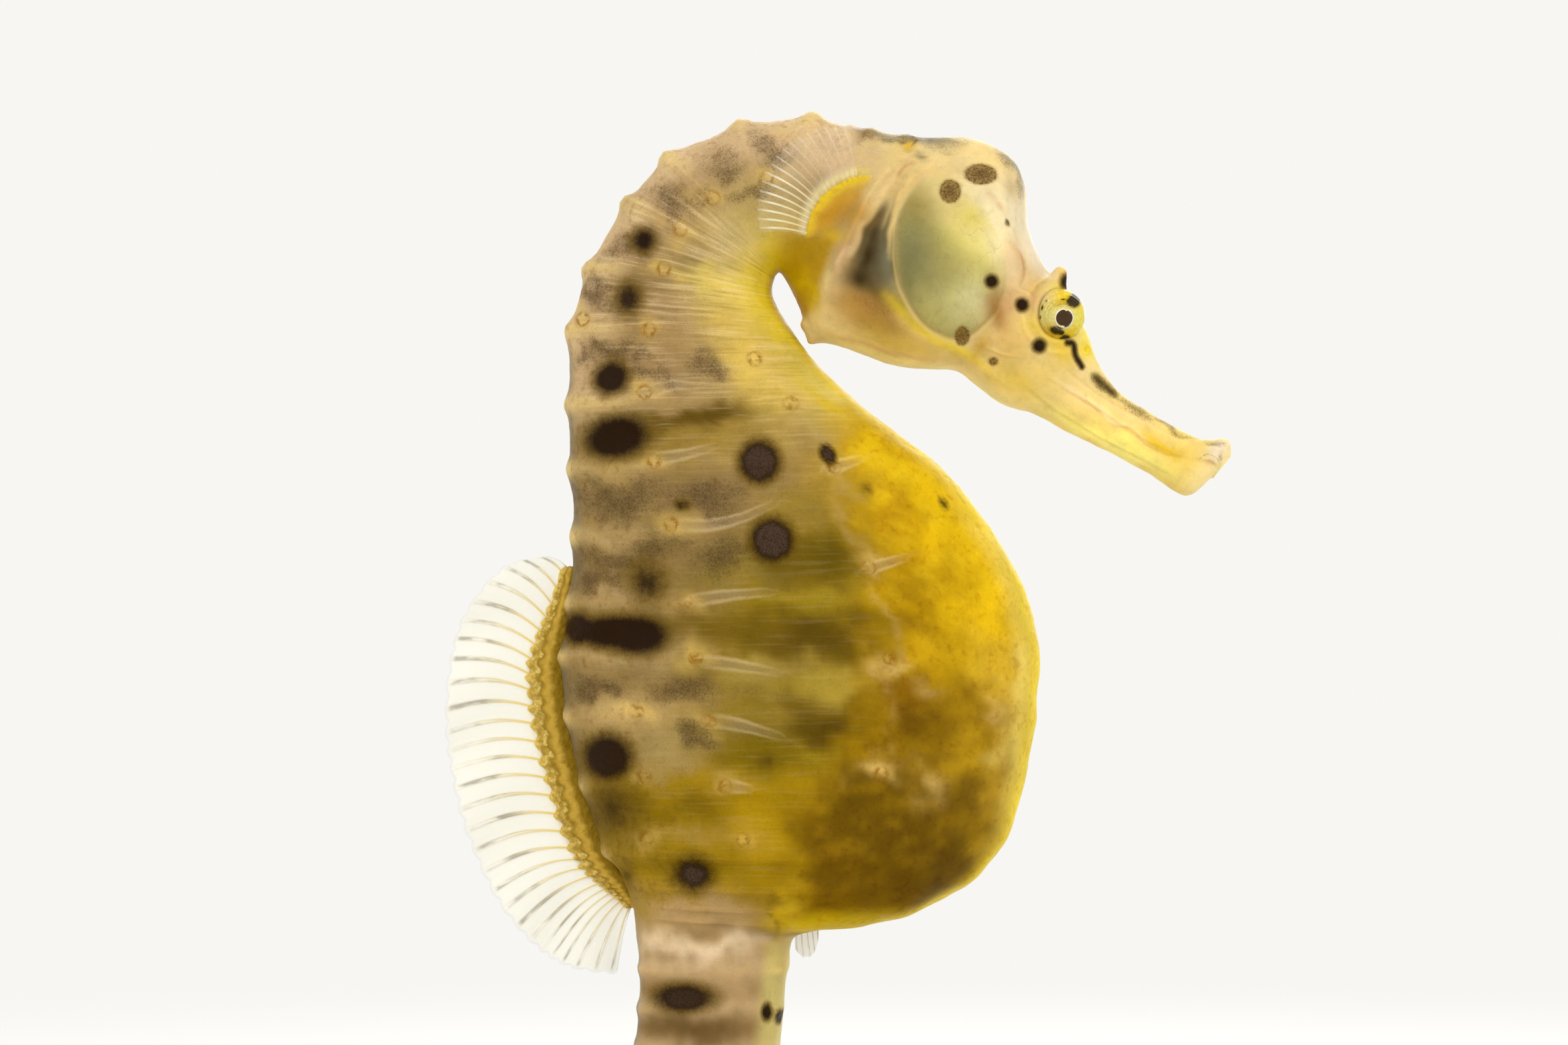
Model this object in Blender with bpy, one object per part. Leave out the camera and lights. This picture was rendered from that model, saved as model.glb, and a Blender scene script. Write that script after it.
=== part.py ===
"""Pot-bellied seahorse, a still life-size model on a plain display stand.

The animal is one continuous loft from the tip of its curled tail to the tip
of its snout, parted by thin cuts where its parts are named.  Lengths are in
millimetres in this file and become metres when a mesh is made.
+X is the way the snout points, +Z is up, and Y = 0 is the plane of symmetry.
The origin is the middle of the base's underside.
"""
import math

import bmesh
import bpy
import numpy as np

MM = 0.001                      # millimetres to metres

# ---- driving dimensions ---------------------------------------------------
GAP = 0.3                       # clear distance kept between neighbouring solids

# Tail: a straight shaft, then a curl that winds forward and inward.
TAIL_X = -8.1                   # line of the straight tail
TAIL_TOP_Z = 57.3               # where the measured part of the tail begins
CURL_Z = 37.3                   # height of the curl's centre
CURL_RADIUS = 13.0              # radius at the start of the curl
CURL_TURNS = 1.2
CURL_PITCH = 6.5                # loss of radius in one turn
TAIL_DEPTH = 10.85              # front to back, at the top
TIP_DEPTH = 1.2
TAIL_WIDTH_RATIO = 0.83         # width over depth
RING_BASE = 0.8                 # a tail ring is this long,
RING_SHARE = 0.25               # plus this share of the tail's depth

# The skin sinks a little between the rings of bony plate under it.
TRUNK_RING_SINK = 0.28
TAIL_RING_SINK = 0.18

# Head
EYE_RADIUS = 1.9
EYE_AT = (18.3, 2.75, 112.1)
KNOB_AT = (17.9, 2.0, 114.85)
KNOB_RADII = (1.6, 1.1, 1.05)
GILL_AT = (9.5, 114.35)
GILL_SEMI_AXES = (4.0, 6.3)
GILL_LEAN = math.radians(14)
GILL_INNER_Y = 3.6

# Pectoral fin and its fleshy base are both set out round this point.
SHOULDER_AT = (4.0, 117.4)
SHOULDER_RADIUS = 4.75
PECTORAL_REACH = 4.0
PECTORAL_Y = 5.85
PECTORAL_FLARE = math.tan(math.radians(18))
FIN_THICKNESS = 0.5

# Stand
BASE_SIZE = (90.0, 56.0, 10.0)
BASE_CORNER = 7.0
BASE_BEVEL = 1.6
ROD_RADIUS = 1.5
COLLAR_RADIUS = 4.0
COLLAR_HEIGHT = 3.0
CRADLE_SIZE = (8.0, 8.4, 4.6)

# Body stations from the root of the tail to the tip of the snout.  Each is a
# slice across the body: its front (ventral) edge, its back (dorsal) edge,
# its half width, where along the slice it is widest (-1 front, 1 back), and
# how round the back end, the front end and the flanks are (1 is an ellipse,
# less is squarer, more is keeled).
BODY_STATIONS = [
    # front x, z       back x, z        half  widest back  front flank
    (-2.35, 60.20, -13.30, 60.20, 4.50, 0.00, 0.70, 0.72, 0.72),   # tail
    (-2.00, 63.20, -13.25, 63.20, 4.60, 0.00, 0.72, 0.74, 0.74),
    (-1.35, 65.60, -13.35, 65.60, 4.75, 0.02, 0.74, 0.80, 0.78),   # tail root
    (0.60, 66.05, -13.40, 66.45, 4.95, 0.06, 0.76, 0.95, 0.82),    # belly floor
    (3.85, 66.35, -13.50, 67.20, 5.40, 0.04, 0.78, 1.05, 0.85),
    (7.45, 67.25, -13.80, 68.20, 6.00, 0.00, 0.80, 1.10, 0.88),
    (10.85, 69.00, -14.35, 69.45, 6.70, -0.06, 0.80, 1.08, 0.90),
    (13.75, 71.80, -15.90, 71.70, 7.40, -0.12, 0.82, 1.04, 0.90),  # ring 1
    (15.75, 77.20, -17.65, 76.70, 8.10, -0.15, 0.84, 1.00, 0.90),
    (16.55, 82.10, -18.90, 81.95, 8.40, -0.16, 0.85, 1.00, 0.90),
    (16.80, 86.45, -19.25, 86.45, 8.35, -0.16, 0.85, 1.00, 0.90),
    (15.90, 90.95, -18.75, 90.45, 8.00, -0.14, 0.84, 1.02, 0.90),
    (13.25, 95.95, -18.30, 95.45, 7.50, -0.10, 0.82, 1.04, 0.88),
    (9.05, 100.95, -18.60, 100.45, 6.90, -0.06, 0.80, 1.04, 0.86),
    (2.65, 105.95, -18.65, 105.30, 6.30, 0.00, 0.80, 1.02, 0.85),
    (-1.65, 110.70, -18.45, 110.95, 5.70, 0.00, 0.80, 0.98, 0.84),
    (-3.15, 113.45, -17.15, 115.60, 5.30, 0.00, 0.80, 0.96, 0.84),
    (-3.10, 114.65, -14.25, 120.55, 5.10, 0.00, 0.80, 0.96, 0.84),
    (-2.85, 115.15, -11.20, 123.95, 5.00, -0.02, 0.82, 0.96, 0.84),
    (-2.55, 115.20, -5.65, 126.35, 5.00, -0.02, 0.84, 0.96, 0.84),
    (-2.15, 114.60, -0.10, 127.05, 5.10, -0.04, 0.88, 0.95, 0.85),  # ring 14
    (-1.50, 113.35, 4.35, 125.85, 5.40, -0.08, 0.95, 0.95, 0.87),  # nape
    (-0.85, 111.80, 8.10, 125.35, 5.75, -0.12, 0.98, 0.93, 0.88),
    (-0.35, 110.45, 11.10, 125.30, 6.00, -0.14, 1.00, 0.92, 0.90),  # gills
    (3.05, 109.35, 14.05, 124.00, 6.10, -0.16, 1.00, 0.92, 0.90),  # coronet
    (5.85, 108.35, 15.65, 121.75, 5.90, -0.16, 0.98, 0.92, 0.90),
    (8.60, 108.00, 16.00, 118.45, 5.30, -0.12, 0.94, 0.92, 0.90),
    (10.35, 108.05, 16.95, 116.10, 4.70, -0.04, 0.88, 0.92, 0.90),
    (12.35, 106.55, 18.45, 113.90, 4.10, 0.05, 0.82, 0.92, 0.90),  # eyes
    (14.10, 105.35, 20.20, 111.10, 3.45, 0.08, 0.80, 0.92, 0.90),
    (16.10, 104.80, 21.20, 108.50, 2.70, 0.05, 0.82, 0.90, 0.90),
    (18.85, 103.40, 22.85, 106.30, 1.95, 0.00, 0.84, 0.90, 0.88),  # snout
    (22.00, 101.80, 25.15, 104.70, 1.70, 0.00, 0.86, 0.90, 0.88),
    (24.95, 100.20, 27.60, 103.35, 1.75, 0.00, 0.86, 0.90, 0.88),
    (27.10, 98.95, 29.45, 102.65, 1.85, 0.00, 0.86, 0.88, 0.86),
    (28.45, 98.85, 30.55, 102.50, 1.50, 0.00, 0.88, 0.88, 0.86),   # lips
    (29.75, 99.80, 30.95, 101.50, 0.75, 0.00, 0.90, 0.90, 0.90),
]

# Places along the body, counted in stations from the start of BODY_STATIONS.
TAIL_ROOT = 2
RING_1 = 7
RING_14 = 20
HEAD_START = 21.8
SNOUT_START = 30.5
MOUTH_START = 33.6
LAST = len(BODY_STATIONS) - 1

# Belly: the line that parts it from the trunk, in X and Z.
BELLY_LINE = [(-1.0, 62.0), (-1.0, 67.0), (0.6, 73.0), (3.6, 79.0),
              (5.0, 86.5), (4.0, 93.5), (1.2, 102.5)]

# Dorsal fin: fleshy base along the back, and the free edge of the fin.
FIN_BASE_FROM = 4.4             # stations between which the base runs
FIN_BASE_TO = 11.55
FIN_BASE_RISE = 2.2             # how far the base stands off the back
FIN_BASE_HALF_WIDTH = 1.0
FIN_EDGE = [(-14.9, 62.5), (-18.7, 63.2), (-21.2, 64.8), (-24.1, 68.4),
            (-26.1, 72.8), (-27.3, 77.2), (-27.8, 81.0), (-27.5, 86.0),
            (-26.3, 89.8), (-23.4, 93.2), (-20.2, 94.0)]
FIN_STEPS = 26

ANAL_FIN = [(-1.1, 65.3), (0.2, 65.6), (0.05, 64.5), (-0.4, 63.95),
            (-0.95, 64.0), (-1.3, 64.6)]

CORONET_LINE = ((10.7, 124.9), (15.85, 119.2))

COLOURS = {
    "skin_tan": ((0.43, 0.33, 0.19, 1.0), 0.5),
    "skin_gold": ((0.62, 0.42, 0.02, 1.0), 0.45),
    "skin_cream": ((0.78, 0.62, 0.33, 1.0), 0.45),
    "gill_green": ((0.38, 0.36, 0.18, 1.0), 0.4),
    "eye_dark": ((0.10, 0.06, 0.01, 1.0), 0.1),
    "fin_clear": ((0.85, 0.83, 0.72, 1.0), 0.35),
    "fin_flesh": ((0.55, 0.38, 0.09, 1.0), 0.5),
    "stand_wood": ((0.05, 0.03, 0.02, 1.0), 0.35),
    "stand_brass": ((0.72, 0.52, 0.22, 1.0), 0.25),
}


# ---- the body's form ------------------------------------------------------
def tail_depth(distance):
    """Depth of the tail at a distance below its top."""
    share = distance / tail_length()
    return TAIL_DEPTH + (TIP_DEPTH - TAIL_DEPTH) * share


def shaft_length():
    return TAIL_TOP_Z - CURL_Z


def curl_length(turns):
    """Length along the curl's middle line after so many turns."""
    return 2 * math.pi * (CURL_RADIUS * turns - CURL_PITCH * turns ** 2 / 2)


def tail_length():
    return shaft_length() + curl_length(CURL_TURNS)


def tail_point(distance):
    """Middle of the tail and its outward (dorsal) direction, in X and Z."""
    if distance <= shaft_length():
        return (TAIL_X, TAIL_TOP_Z - distance), (-1.0, 0.0)
    along = (distance - shaft_length()) / (2 * math.pi)
    root = math.sqrt(CURL_RADIUS ** 2 - 2 * CURL_PITCH * along)
    turns = (CURL_RADIUS - root) / CURL_PITCH
    angle = math.pi + 2 * math.pi * turns
    out = (math.cos(angle), math.sin(angle))
    radius = CURL_RADIUS - CURL_PITCH * turns
    centre_x = TAIL_X + CURL_RADIUS
    return (centre_x + radius * out[0], CURL_Z + radius * out[1]), out


def tail_stations():
    """One station for each ring of the tail, from the tip up."""
    places = [0.0]
    while places[-1] < tail_length():
        depth = tail_depth(places[-1])
        places.append(places[-1] + RING_BASE + RING_SHARE * depth)
    scale = tail_length() / places[-1]
    stations = []
    for place in reversed(places):
        (x, z), (out_x, out_z) = tail_point(place * scale)
        half = tail_depth(place * scale) / 2
        stations.append((x - half * out_x, z - half * out_z,
                         x + half * out_x, z + half * out_z,
                         half * TAIL_WIDTH_RATIO, 0.0, 0.70, 0.72, 0.72))
    return stations


TAIL_STATIONS = tail_stations()
STATIONS = np.array(TAIL_STATIONS + BODY_STATIONS)
BODY_OFFSET = len(TAIL_STATIONS)        # index of the first body station
STEPS = (np.linalg.norm(np.diff(STATIONS[:, 0:2], axis=0), axis=1)
         + np.linalg.norm(np.diff(STATIONS[:, 2:4], axis=0), axis=1)) / 2
KNOTS = np.concatenate([[0.0], np.cumsum(STEPS)])


def slope(i):
    """Rate of change of a station's values, from its two neighbours."""
    low, high = max(i - 1, 0), min(i + 1, len(STATIONS) - 1)
    if low == i or high == i:
        return (STATIONS[high] - STATIONS[low]) / (KNOTS[high] - KNOTS[low])
    before, after = STEPS[i - 1], STEPS[i]
    rate_before = (STATIONS[i] - STATIONS[low]) / before
    rate_after = (STATIONS[high] - STATIONS[i]) / after
    return (rate_before * after + rate_after * before) / (before + after)


def station_at(u):
    """Values of the station at u, smoothly between the listed ones."""
    i = min(int(u), len(STATIONS) - 2)
    t = u - i
    h = STEPS[i]
    return ((2 * t ** 3 - 3 * t ** 2 + 1) * STATIONS[i]
            + (t ** 3 - 2 * t ** 2 + t) * h * slope(i)
            + (3 * t ** 2 - 2 * t ** 3) * STATIONS[i + 1]
            + (t ** 3 - t ** 2) * h * slope(i + 1))


def ring_sink(u):
    """How far the skin lies below its bony rings at u."""
    body = u - BODY_OFFSET
    off_ring = 1.0 - math.exp(-((u - round(u)) / 0.2) ** 2)
    if body > RING_14 + 0.5:
        return 0.0
    if body > RING_1 - 0.5:
        return TRUNK_RING_SINK * off_ring
    depth = np.linalg.norm(station_at(u)[0:2] - station_at(u)[2:4])
    return TAIL_RING_SINK * off_ring * depth / TAIL_DEPTH


def frame_at(u):
    """Front, back, unit directions across and along the body at u."""
    row = station_at(u)
    front, back = row[0:2], row[2:4]
    across = (back - front) / np.linalg.norm(back - front)
    along = np.array([across[1], -across[0]])
    ahead = station_at(min(u + 0.2, len(STATIONS) - 1.0))
    behind = station_at(max(u - 0.2, 0.0))
    travel = (ahead[0:2] + ahead[2:4]) - (behind[0:2] + behind[2:4])
    if np.dot(travel, along) < 0:
        along = -along
    return row, front, back, across, along


def section(u, sides, shift=0.0, grow=0.0):
    """Ring of points round the body at u; shift moves it along the body."""
    row, front, back, across, along = frame_at(u)
    half_width, widest, round_back, round_front, round_flank = row[4:9]
    half_depth = np.linalg.norm(back - front) / 2
    middle = (front + back) / 2 + across * widest * half_depth + along * shift
    sink = ring_sink(u)
    points = []
    for k in range(sides):
        angle = 2 * math.pi * k / sides
        c, s = math.cos(angle), math.sin(angle)
        rise = grow - sink * (1 + c) / 2        # none at the front edge
        if c >= 0:
            reach = ((1 - widest) * half_depth + rise) * c ** round_back
        else:
            reach = -((1 + widest) * half_depth + rise) * (-c) ** round_front
        width = (half_width + rise) * abs(s) ** round_flank
        place = middle + across * reach
        points.append((place[0], math.copysign(width, s) if s else 0.0, place[1]))
    return points


# ---- making objects -------------------------------------------------------
def material(name):
    made = bpy.data.materials.get(name)
    if made is None:
        made = bpy.data.materials.new(name)
        made.use_nodes = True
        colour, roughness = COLOURS[name]
        shader = made.node_tree.nodes["Principled BSDF"]
        shader.inputs["Base Color"].default_value = colour
        shader.inputs["Roughness"].default_value = roughness
        shader.inputs["Metallic"].default_value = float(name == "stand_brass")
    return made


def solid(name, points, faces, finish, smooth=True):
    """A closed mesh object from points in millimetres."""
    mesh = bpy.data.meshes.new(name)
    mesh.from_pydata([[c * MM for c in p] for p in points], [], faces)
    work = bmesh.new()
    work.from_mesh(mesh)
    bmesh.ops.remove_doubles(work, verts=work.verts, dist=0.001 * MM)
    bmesh.ops.recalc_face_normals(work, faces=work.faces)
    work.to_mesh(mesh)
    work.free()
    if smooth:
        mesh.shade_smooth()
    mesh.materials.append(material(finish))
    made = bpy.data.objects.new(name, mesh)
    bpy.context.scene.collection.objects.link(made)
    return made


def skin_between(rings):
    """Faces over a list of equal rings, with a cap at each end."""
    sides = len(rings[0])
    faces = []
    for i in range(len(rings) - 1):
        for k in range(sides):
            after = (k + 1) % sides
            low, high = i * sides, (i + 1) * sides
            faces.append((low + k, low + after, high + after, high + k))
    faces.append(tuple(range(sides))[::-1])
    faces.append(tuple((len(rings) - 1) * sides + k for k in range(sides)))
    return [p for ring in rings for p in ring], faces


def length_of_body(name, start, end, sides, finish, grow=0.0, step=0.5):
    """The loft from start to end, short of each cut by half the gap."""
    inner = [k * step for k in range(math.ceil(start / step + 0.3),
                                     math.floor(end / step - 0.3) + 1)]
    rings = [section(start, sides, GAP / 2, grow)]
    rings += [section(u, sides, 0.0, grow) for u in inner]
    rings.append(section(end, sides, -GAP / 2, grow))
    points, faces = skin_between(rings)
    return solid(name, points, faces, finish)


def prism(name, outline, y_from, y_to, finish="skin_tan", smooth=False):
    """An outline in X and Z, pushed out along Y."""
    rings = [[(x, y, z) for x, z in outline] for y in (y_from, y_to)]
    points, faces = skin_between(rings)
    return solid(name, points, faces, finish, smooth)


def ball(name, centre, radii, finish, rings=10, sides=18):
    """An ellipsoid with its poles on the Y axis."""
    points = [(centre[0], centre[1] - radii[1], centre[2])]
    for i in range(1, rings):
        tilt = math.pi * i / rings
        for k in range(sides):
            turn = 2 * math.pi * k / sides
            points.append((centre[0] + radii[0] * math.sin(tilt) * math.cos(turn),
                           centre[1] - radii[1] * math.cos(tilt),
                           centre[2] + radii[2] * math.sin(tilt) * math.sin(turn)))
    points.append((centre[0], centre[1] + radii[1], centre[2]))
    last = len(points) - 1
    faces = []
    for k in range(sides):
        after = (k + 1) % sides
        faces.append((0, 1 + k, 1 + after))
        for i in range(rings - 2):
            low, high = 1 + i * sides, 1 + (i + 1) * sides
            faces.append((low + k, high + k, high + after, low + after))
        top = 1 + (rings - 2) * sides
        faces.append((last, top + after, top + k))
    return solid(name, points, faces, finish)


def combine(target, tool, how):
    """Cut, keep or join the target by a hidden tool shape."""
    tool.hide_render = True
    tool.display_type = "WIRE"
    change = target.modifiers.new(how.lower() + "_" + tool.name, "BOOLEAN")
    change.operation = how
    change.solver = "EXACT"
    change.object = tool


def ellipse(centre, semi_axes, lean, count=24, extra=0.0):
    """Outline of a leaning ellipse in X and Z."""
    outline = []
    for k in range(count):
        turn = 2 * math.pi * k / count
        a = (semi_axes[0] + extra) * math.cos(turn)
        b = (semi_axes[1] + extra) * math.sin(turn)
        outline.append((centre[0] + a * math.cos(lean) + b * math.sin(lean),
                        centre[1] - a * math.sin(lean) + b * math.cos(lean)))
    return outline


# ---- the animal -----------------------------------------------------------
def station_near_turn(turns):
    """Index of the tail ring nearest a place on the curl."""
    wanted = tail_length() - shaft_length() - curl_length(turns)
    below = KNOTS[:BODY_OFFSET] - KNOTS[0]
    total = below[-1]
    return int(np.argmin(abs(below - wanted * total / tail_length())))


def make_tail():
    """Shaft and curl in short lengths, so that each is nearly straight."""
    cuts = [station_near_turn(t) for t in (0.96, 0.73, 0.49, 0.25, 0.02)]
    names = ["tail_tip", "tail_coil_inner", "tail_coil_middle",
             "tail_coil_outer", "tail_coil_lower", "tail_shaft"]
    edges = [0] + cuts + [BODY_OFFSET - 1]
    for name, start, end in zip(names, edges, edges[1:]):
        step = 1.0 if end < cuts[3] else 0.5
        length_of_body(name, start, end, 12, "skin_tan", step=step)
    length_of_body("tail_root", BODY_OFFSET - 1, BODY_OFFSET + TAIL_ROOT,
                   20, "skin_tan")


def belly_outline(extra):
    """Region in front of the belly line, moved forward by extra."""
    line = [(x + extra, z) for x, z in BELLY_LINE]
    return line + [(30.0, BELLY_LINE[-1][1]), (30.0, BELLY_LINE[0][1])]


def make_trunk():
    """Three lengths of trunk, with the pot belly parted from the lower two."""
    root = BODY_OFFSET + TAIL_ROOT
    low, high, top = (BODY_OFFSET + RING_1 + k for k in (2, 6, 8))
    belly = length_of_body("belly", root, high, 26, "skin_gold")
    combine(belly, prism("cut_belly", belly_outline(GAP), -15, 15), "INTERSECT")
    lower = length_of_body("trunk_lower", root, low, 26, "skin_tan")
    middle = length_of_body("trunk_middle", low, high, 26, "skin_tan")
    for length in (lower, middle):
        tool = prism("cut_" + length.name, belly_outline(0.0), -15, 15)
        combine(length, tool, "DIFFERENCE")
    length_of_body("trunk_upper", high, top, 26, "skin_tan")


def shoulder_outline(outer, inner, start, end, taper):
    """A crescent round the shoulder, from start to end in degrees."""
    count = 10
    outline = []
    for k in range(count + 1):
        turn = math.radians(start + (end - start) * k / count)
        outline.append((SHOULDER_AT[0] + outer * math.cos(turn),
                        SHOULDER_AT[1] + outer * math.sin(turn)))
    for k in range(count, -1, -1):
        turn = math.radians(start + (end - start) * k / count)
        narrowing = abs(2 * k / count - 1) ** 3 * taper
        radius = inner + (outer - inner) * narrowing
        outline.append((SHOULDER_AT[0] + radius * math.cos(turn),
                        SHOULDER_AT[1] + radius * math.sin(turn)))
    return outline


def make_neck():
    """Arched neck, with a fleshy base for each pectoral fin let into it."""
    start = BODY_OFFSET + RING_1 + 8
    end = BODY_OFFSET + HEAD_START
    neck = length_of_body("neck", start, end, 24, "skin_tan")
    for side, sign in (("right", -1), ("left", 1)):
        near, far = 3.4 * sign, 9.0 * sign
        base = length_of_body("pectoral_base_" + side, start + 3, end + 0.2,
                              24, "fin_flesh", grow=0.55)
        inside = shoulder_outline(SHOULDER_RADIUS, 2.7, 178, 88, 0.75)
        combine(base, prism("cut_base_" + side, inside, near, far), "INTERSECT")
        pocket = shoulder_outline(SHOULDER_RADIUS + GAP, 2.7 - GAP, 182, 84, 0.65)
        tool = prism("cut_pocket_" + side, pocket, near - GAP * sign, far)
        combine(neck, tool, "DIFFERENCE")
        make_pectoral_fin(side, sign)


def make_pectoral_fin(side, sign):
    """A thin fan whose free edge stands off the neck."""
    count = 12
    rows = []
    for k in range(count + 1):
        share = k / count
        turn = math.radians(176 - 74 * share)
        reach = PECTORAL_REACH * (0.55 + 0.5 * math.sin(math.pi * (0.15 + 0.65 * share)))
        row = []
        for j in range(4):
            out = reach * j / 3
            radius = SHOULDER_RADIUS + GAP + out
            row.append((SHOULDER_AT[0] + radius * math.cos(turn),
                        sign * (PECTORAL_Y + out * PECTORAL_FLARE),
                        SHOULDER_AT[1] + radius * math.sin(turn)))
        rows.append(row)
    thin_plate("pectoral_fin_" + side, rows, (0, 1, 0), "fin_clear")


def thin_plate(name, rows, normal, finish):
    """A plate of the fins' thickness over a grid of points."""
    half = FIN_THICKNESS / 2
    wide = len(rows[0])
    grid = [p for row in rows for p in row]
    count = len(grid)
    points = [tuple(c + half * n for c, n in zip(p, normal)) for p in grid]
    points += [tuple(c - half * n for c, n in zip(p, normal)) for p in grid]
    faces = []
    for i in range(len(rows) - 1):
        for j in range(wide - 1):
            a = i * wide + j
            quad = (a, a + 1, a + wide + 1, a + wide)
            faces.append(quad)
            faces.append(tuple(count + v for v in reversed(quad)))
    rim = [j for j in range(wide)]
    rim += [i * wide + wide - 1 for i in range(1, len(rows))]
    rim += [(len(rows) - 1) * wide + j for j in range(wide - 2, -1, -1)]
    rim += [i * wide for i in range(len(rows) - 2, 0, -1)]
    for a, b in zip(rim, rim[1:] + rim[:1]):
        faces.append((b, a, count + a, count + b))
    return solid(name, points, faces, finish)


def make_head():
    """Head with eye sockets, brow knobs, gill covers and coronet parted."""
    start = BODY_OFFSET + HEAD_START
    end = BODY_OFFSET + SNOUT_START
    head = length_of_body("head", start, end, 28, "skin_cream")
    for side, sign in (("right", -1), ("left", 1)):
        knob_at = (KNOB_AT[0], KNOB_AT[1] * sign, KNOB_AT[2])
        knob = ball("knob_" + side, knob_at, KNOB_RADII, "skin_cream", 6, 10)
        combine(head, knob, "UNION")
    for side, sign in (("right", -1), ("left", 1)):
        eye_at = (EYE_AT[0], EYE_AT[1] * sign, EYE_AT[2])
        ball("eye_" + side, eye_at, (EYE_RADIUS,) * 3, "eye_dark")
        socket = ball("cut_eye_" + side, eye_at, (EYE_RADIUS + GAP,) * 3,
                      "skin_cream", 8, 14)
        combine(head, socket, "DIFFERENCE")
        near, far = GILL_INNER_Y * sign, 9.0 * sign
        cover = length_of_body("gill_cover_" + side, start + 0.2, end - 1,
                               28, "gill_green", grow=0.12)
        inside = ellipse(GILL_AT, GILL_SEMI_AXES, -GILL_LEAN)
        combine(cover, prism("cut_gill_" + side, inside, near, far), "INTERSECT")
        pocket = ellipse(GILL_AT, GILL_SEMI_AXES, -GILL_LEAN, extra=GAP)
        tool = prism("cut_gill_pocket_" + side, pocket, near - GAP * sign, far)
        combine(head, tool, "DIFFERENCE")
    coronet = length_of_body("coronet", start + 0.8, end - 2, 28, "skin_cream")
    combine(coronet, coronet_block("cut_coronet", GAP), "INTERSECT")
    combine(head, coronet_block("cut_crown", 0.0), "DIFFERENCE")


def coronet_block(name, clear):
    """A block over the line along which the coronet leaves the crown."""
    (x0, z0), (x1, z1) = CORONET_LINE
    length = math.hypot(x1 - x0, z1 - z0)
    dx, dz = (x1 - x0) / length, (z1 - z0) / length
    out = (-dz, dx)
    depth, past = 6.0, 2.0
    outline = [(x0 - past * dx + clear * out[0], z0 - past * dz + clear * out[1]),
               (x1 + past * dx + clear * out[0], z1 + past * dz + clear * out[1]),
               (x1 + past * dx + depth * out[0], z1 + past * dz + depth * out[1]),
               (x0 - past * dx + depth * out[0], z0 - past * dz + depth * out[1])]
    return prism(name, outline, -9.0, 9.0)


def make_snout():
    """Tubular snout and the small upturned mouth at its end."""
    snout = BODY_OFFSET + SNOUT_START
    mouth = BODY_OFFSET + MOUTH_START
    length_of_body("snout", snout, mouth, 20, "skin_cream")
    length_of_body("mouth", mouth, BODY_OFFSET + LAST, 20, "skin_cream")


def along_line(line, share):
    """A point on a smooth curve through the listed points."""
    place = share * (len(line) - 1)
    i = min(int(place), len(line) - 2)
    t = place - i
    p0, p1 = np.array(line[max(i - 1, 0)]), np.array(line[i])
    p2, p3 = np.array(line[i + 1]), np.array(line[min(i + 2, len(line) - 1)])
    return (p1 + (p2 - p0) * t / 2
            + (2 * p0 - 5 * p1 + 4 * p2 - p3) * t ** 2 / 2
            + (3 * p1 - p0 - 3 * p2 + p3) * t ** 3 / 2)


def back_edge(share, off):
    """A point off the back at a share of the dorsal fin's base."""
    u = BODY_OFFSET + FIN_BASE_FROM + (FIN_BASE_TO - FIN_BASE_FROM) * share
    row, front, back, across, along = frame_at(u)
    return back + across * off


def base_rise(share):
    return FIN_BASE_RISE * min(1.0, 3.2 * share + 0.12, 3.6 * (1 - share) + 0.12)


def make_dorsal_fin():
    """Fleshy base along the back, and the clear fin that stands on it."""
    inner = GAP
    rings = []
    for i in range(FIN_STEPS + 1):
        share = i / FIN_STEPS
        low, high = back_edge(share, inner), back_edge(share, inner + base_rise(share))
        half = FIN_BASE_HALF_WIDTH
        rings.append([(low[0], -half, low[1]), (low[0], half, low[1]),
                      (high[0], half * 0.55, high[1]),
                      (high[0], -half * 0.55, high[1])])
    points, faces = skin_between(rings)
    solid("dorsal_fin_base", points, faces, "fin_flesh", False)
    rows = []
    for i in range(FIN_STEPS + 1):
        share = i / FIN_STEPS
        root = back_edge(share, inner + base_rise(share) + GAP)
        edge = along_line(FIN_EDGE, share)
        rows.append([(x, 0.0, z) for x, z in
                     (root + (edge - root) * j / 3 for j in range(4))])
    thin_plate("dorsal_fin", rows, (0, 1, 0), "fin_clear")


def make_anal_fin():
    prism("anal_fin", ANAL_FIN, -FIN_THICKNESS / 2, FIN_THICKNESS / 2, "fin_clear")


# ---- the stand ------------------------------------------------------------
def turned(name, centre, profile, finish, sides=28):
    """A solid of revolution about a vertical axis from (radius, z) pairs."""
    rings = []
    for radius, z in profile:
        rings.append([(centre[0] + radius * math.cos(2 * math.pi * k / sides),
                       centre[1] + radius * math.sin(2 * math.pi * k / sides), z)
                      for k in range(sides)])
    points, faces = skin_between(rings)
    if profile[0] == profile[-1]:
        faces = faces[:-2]
    return solid(name, points, faces, finish, False)


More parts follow.
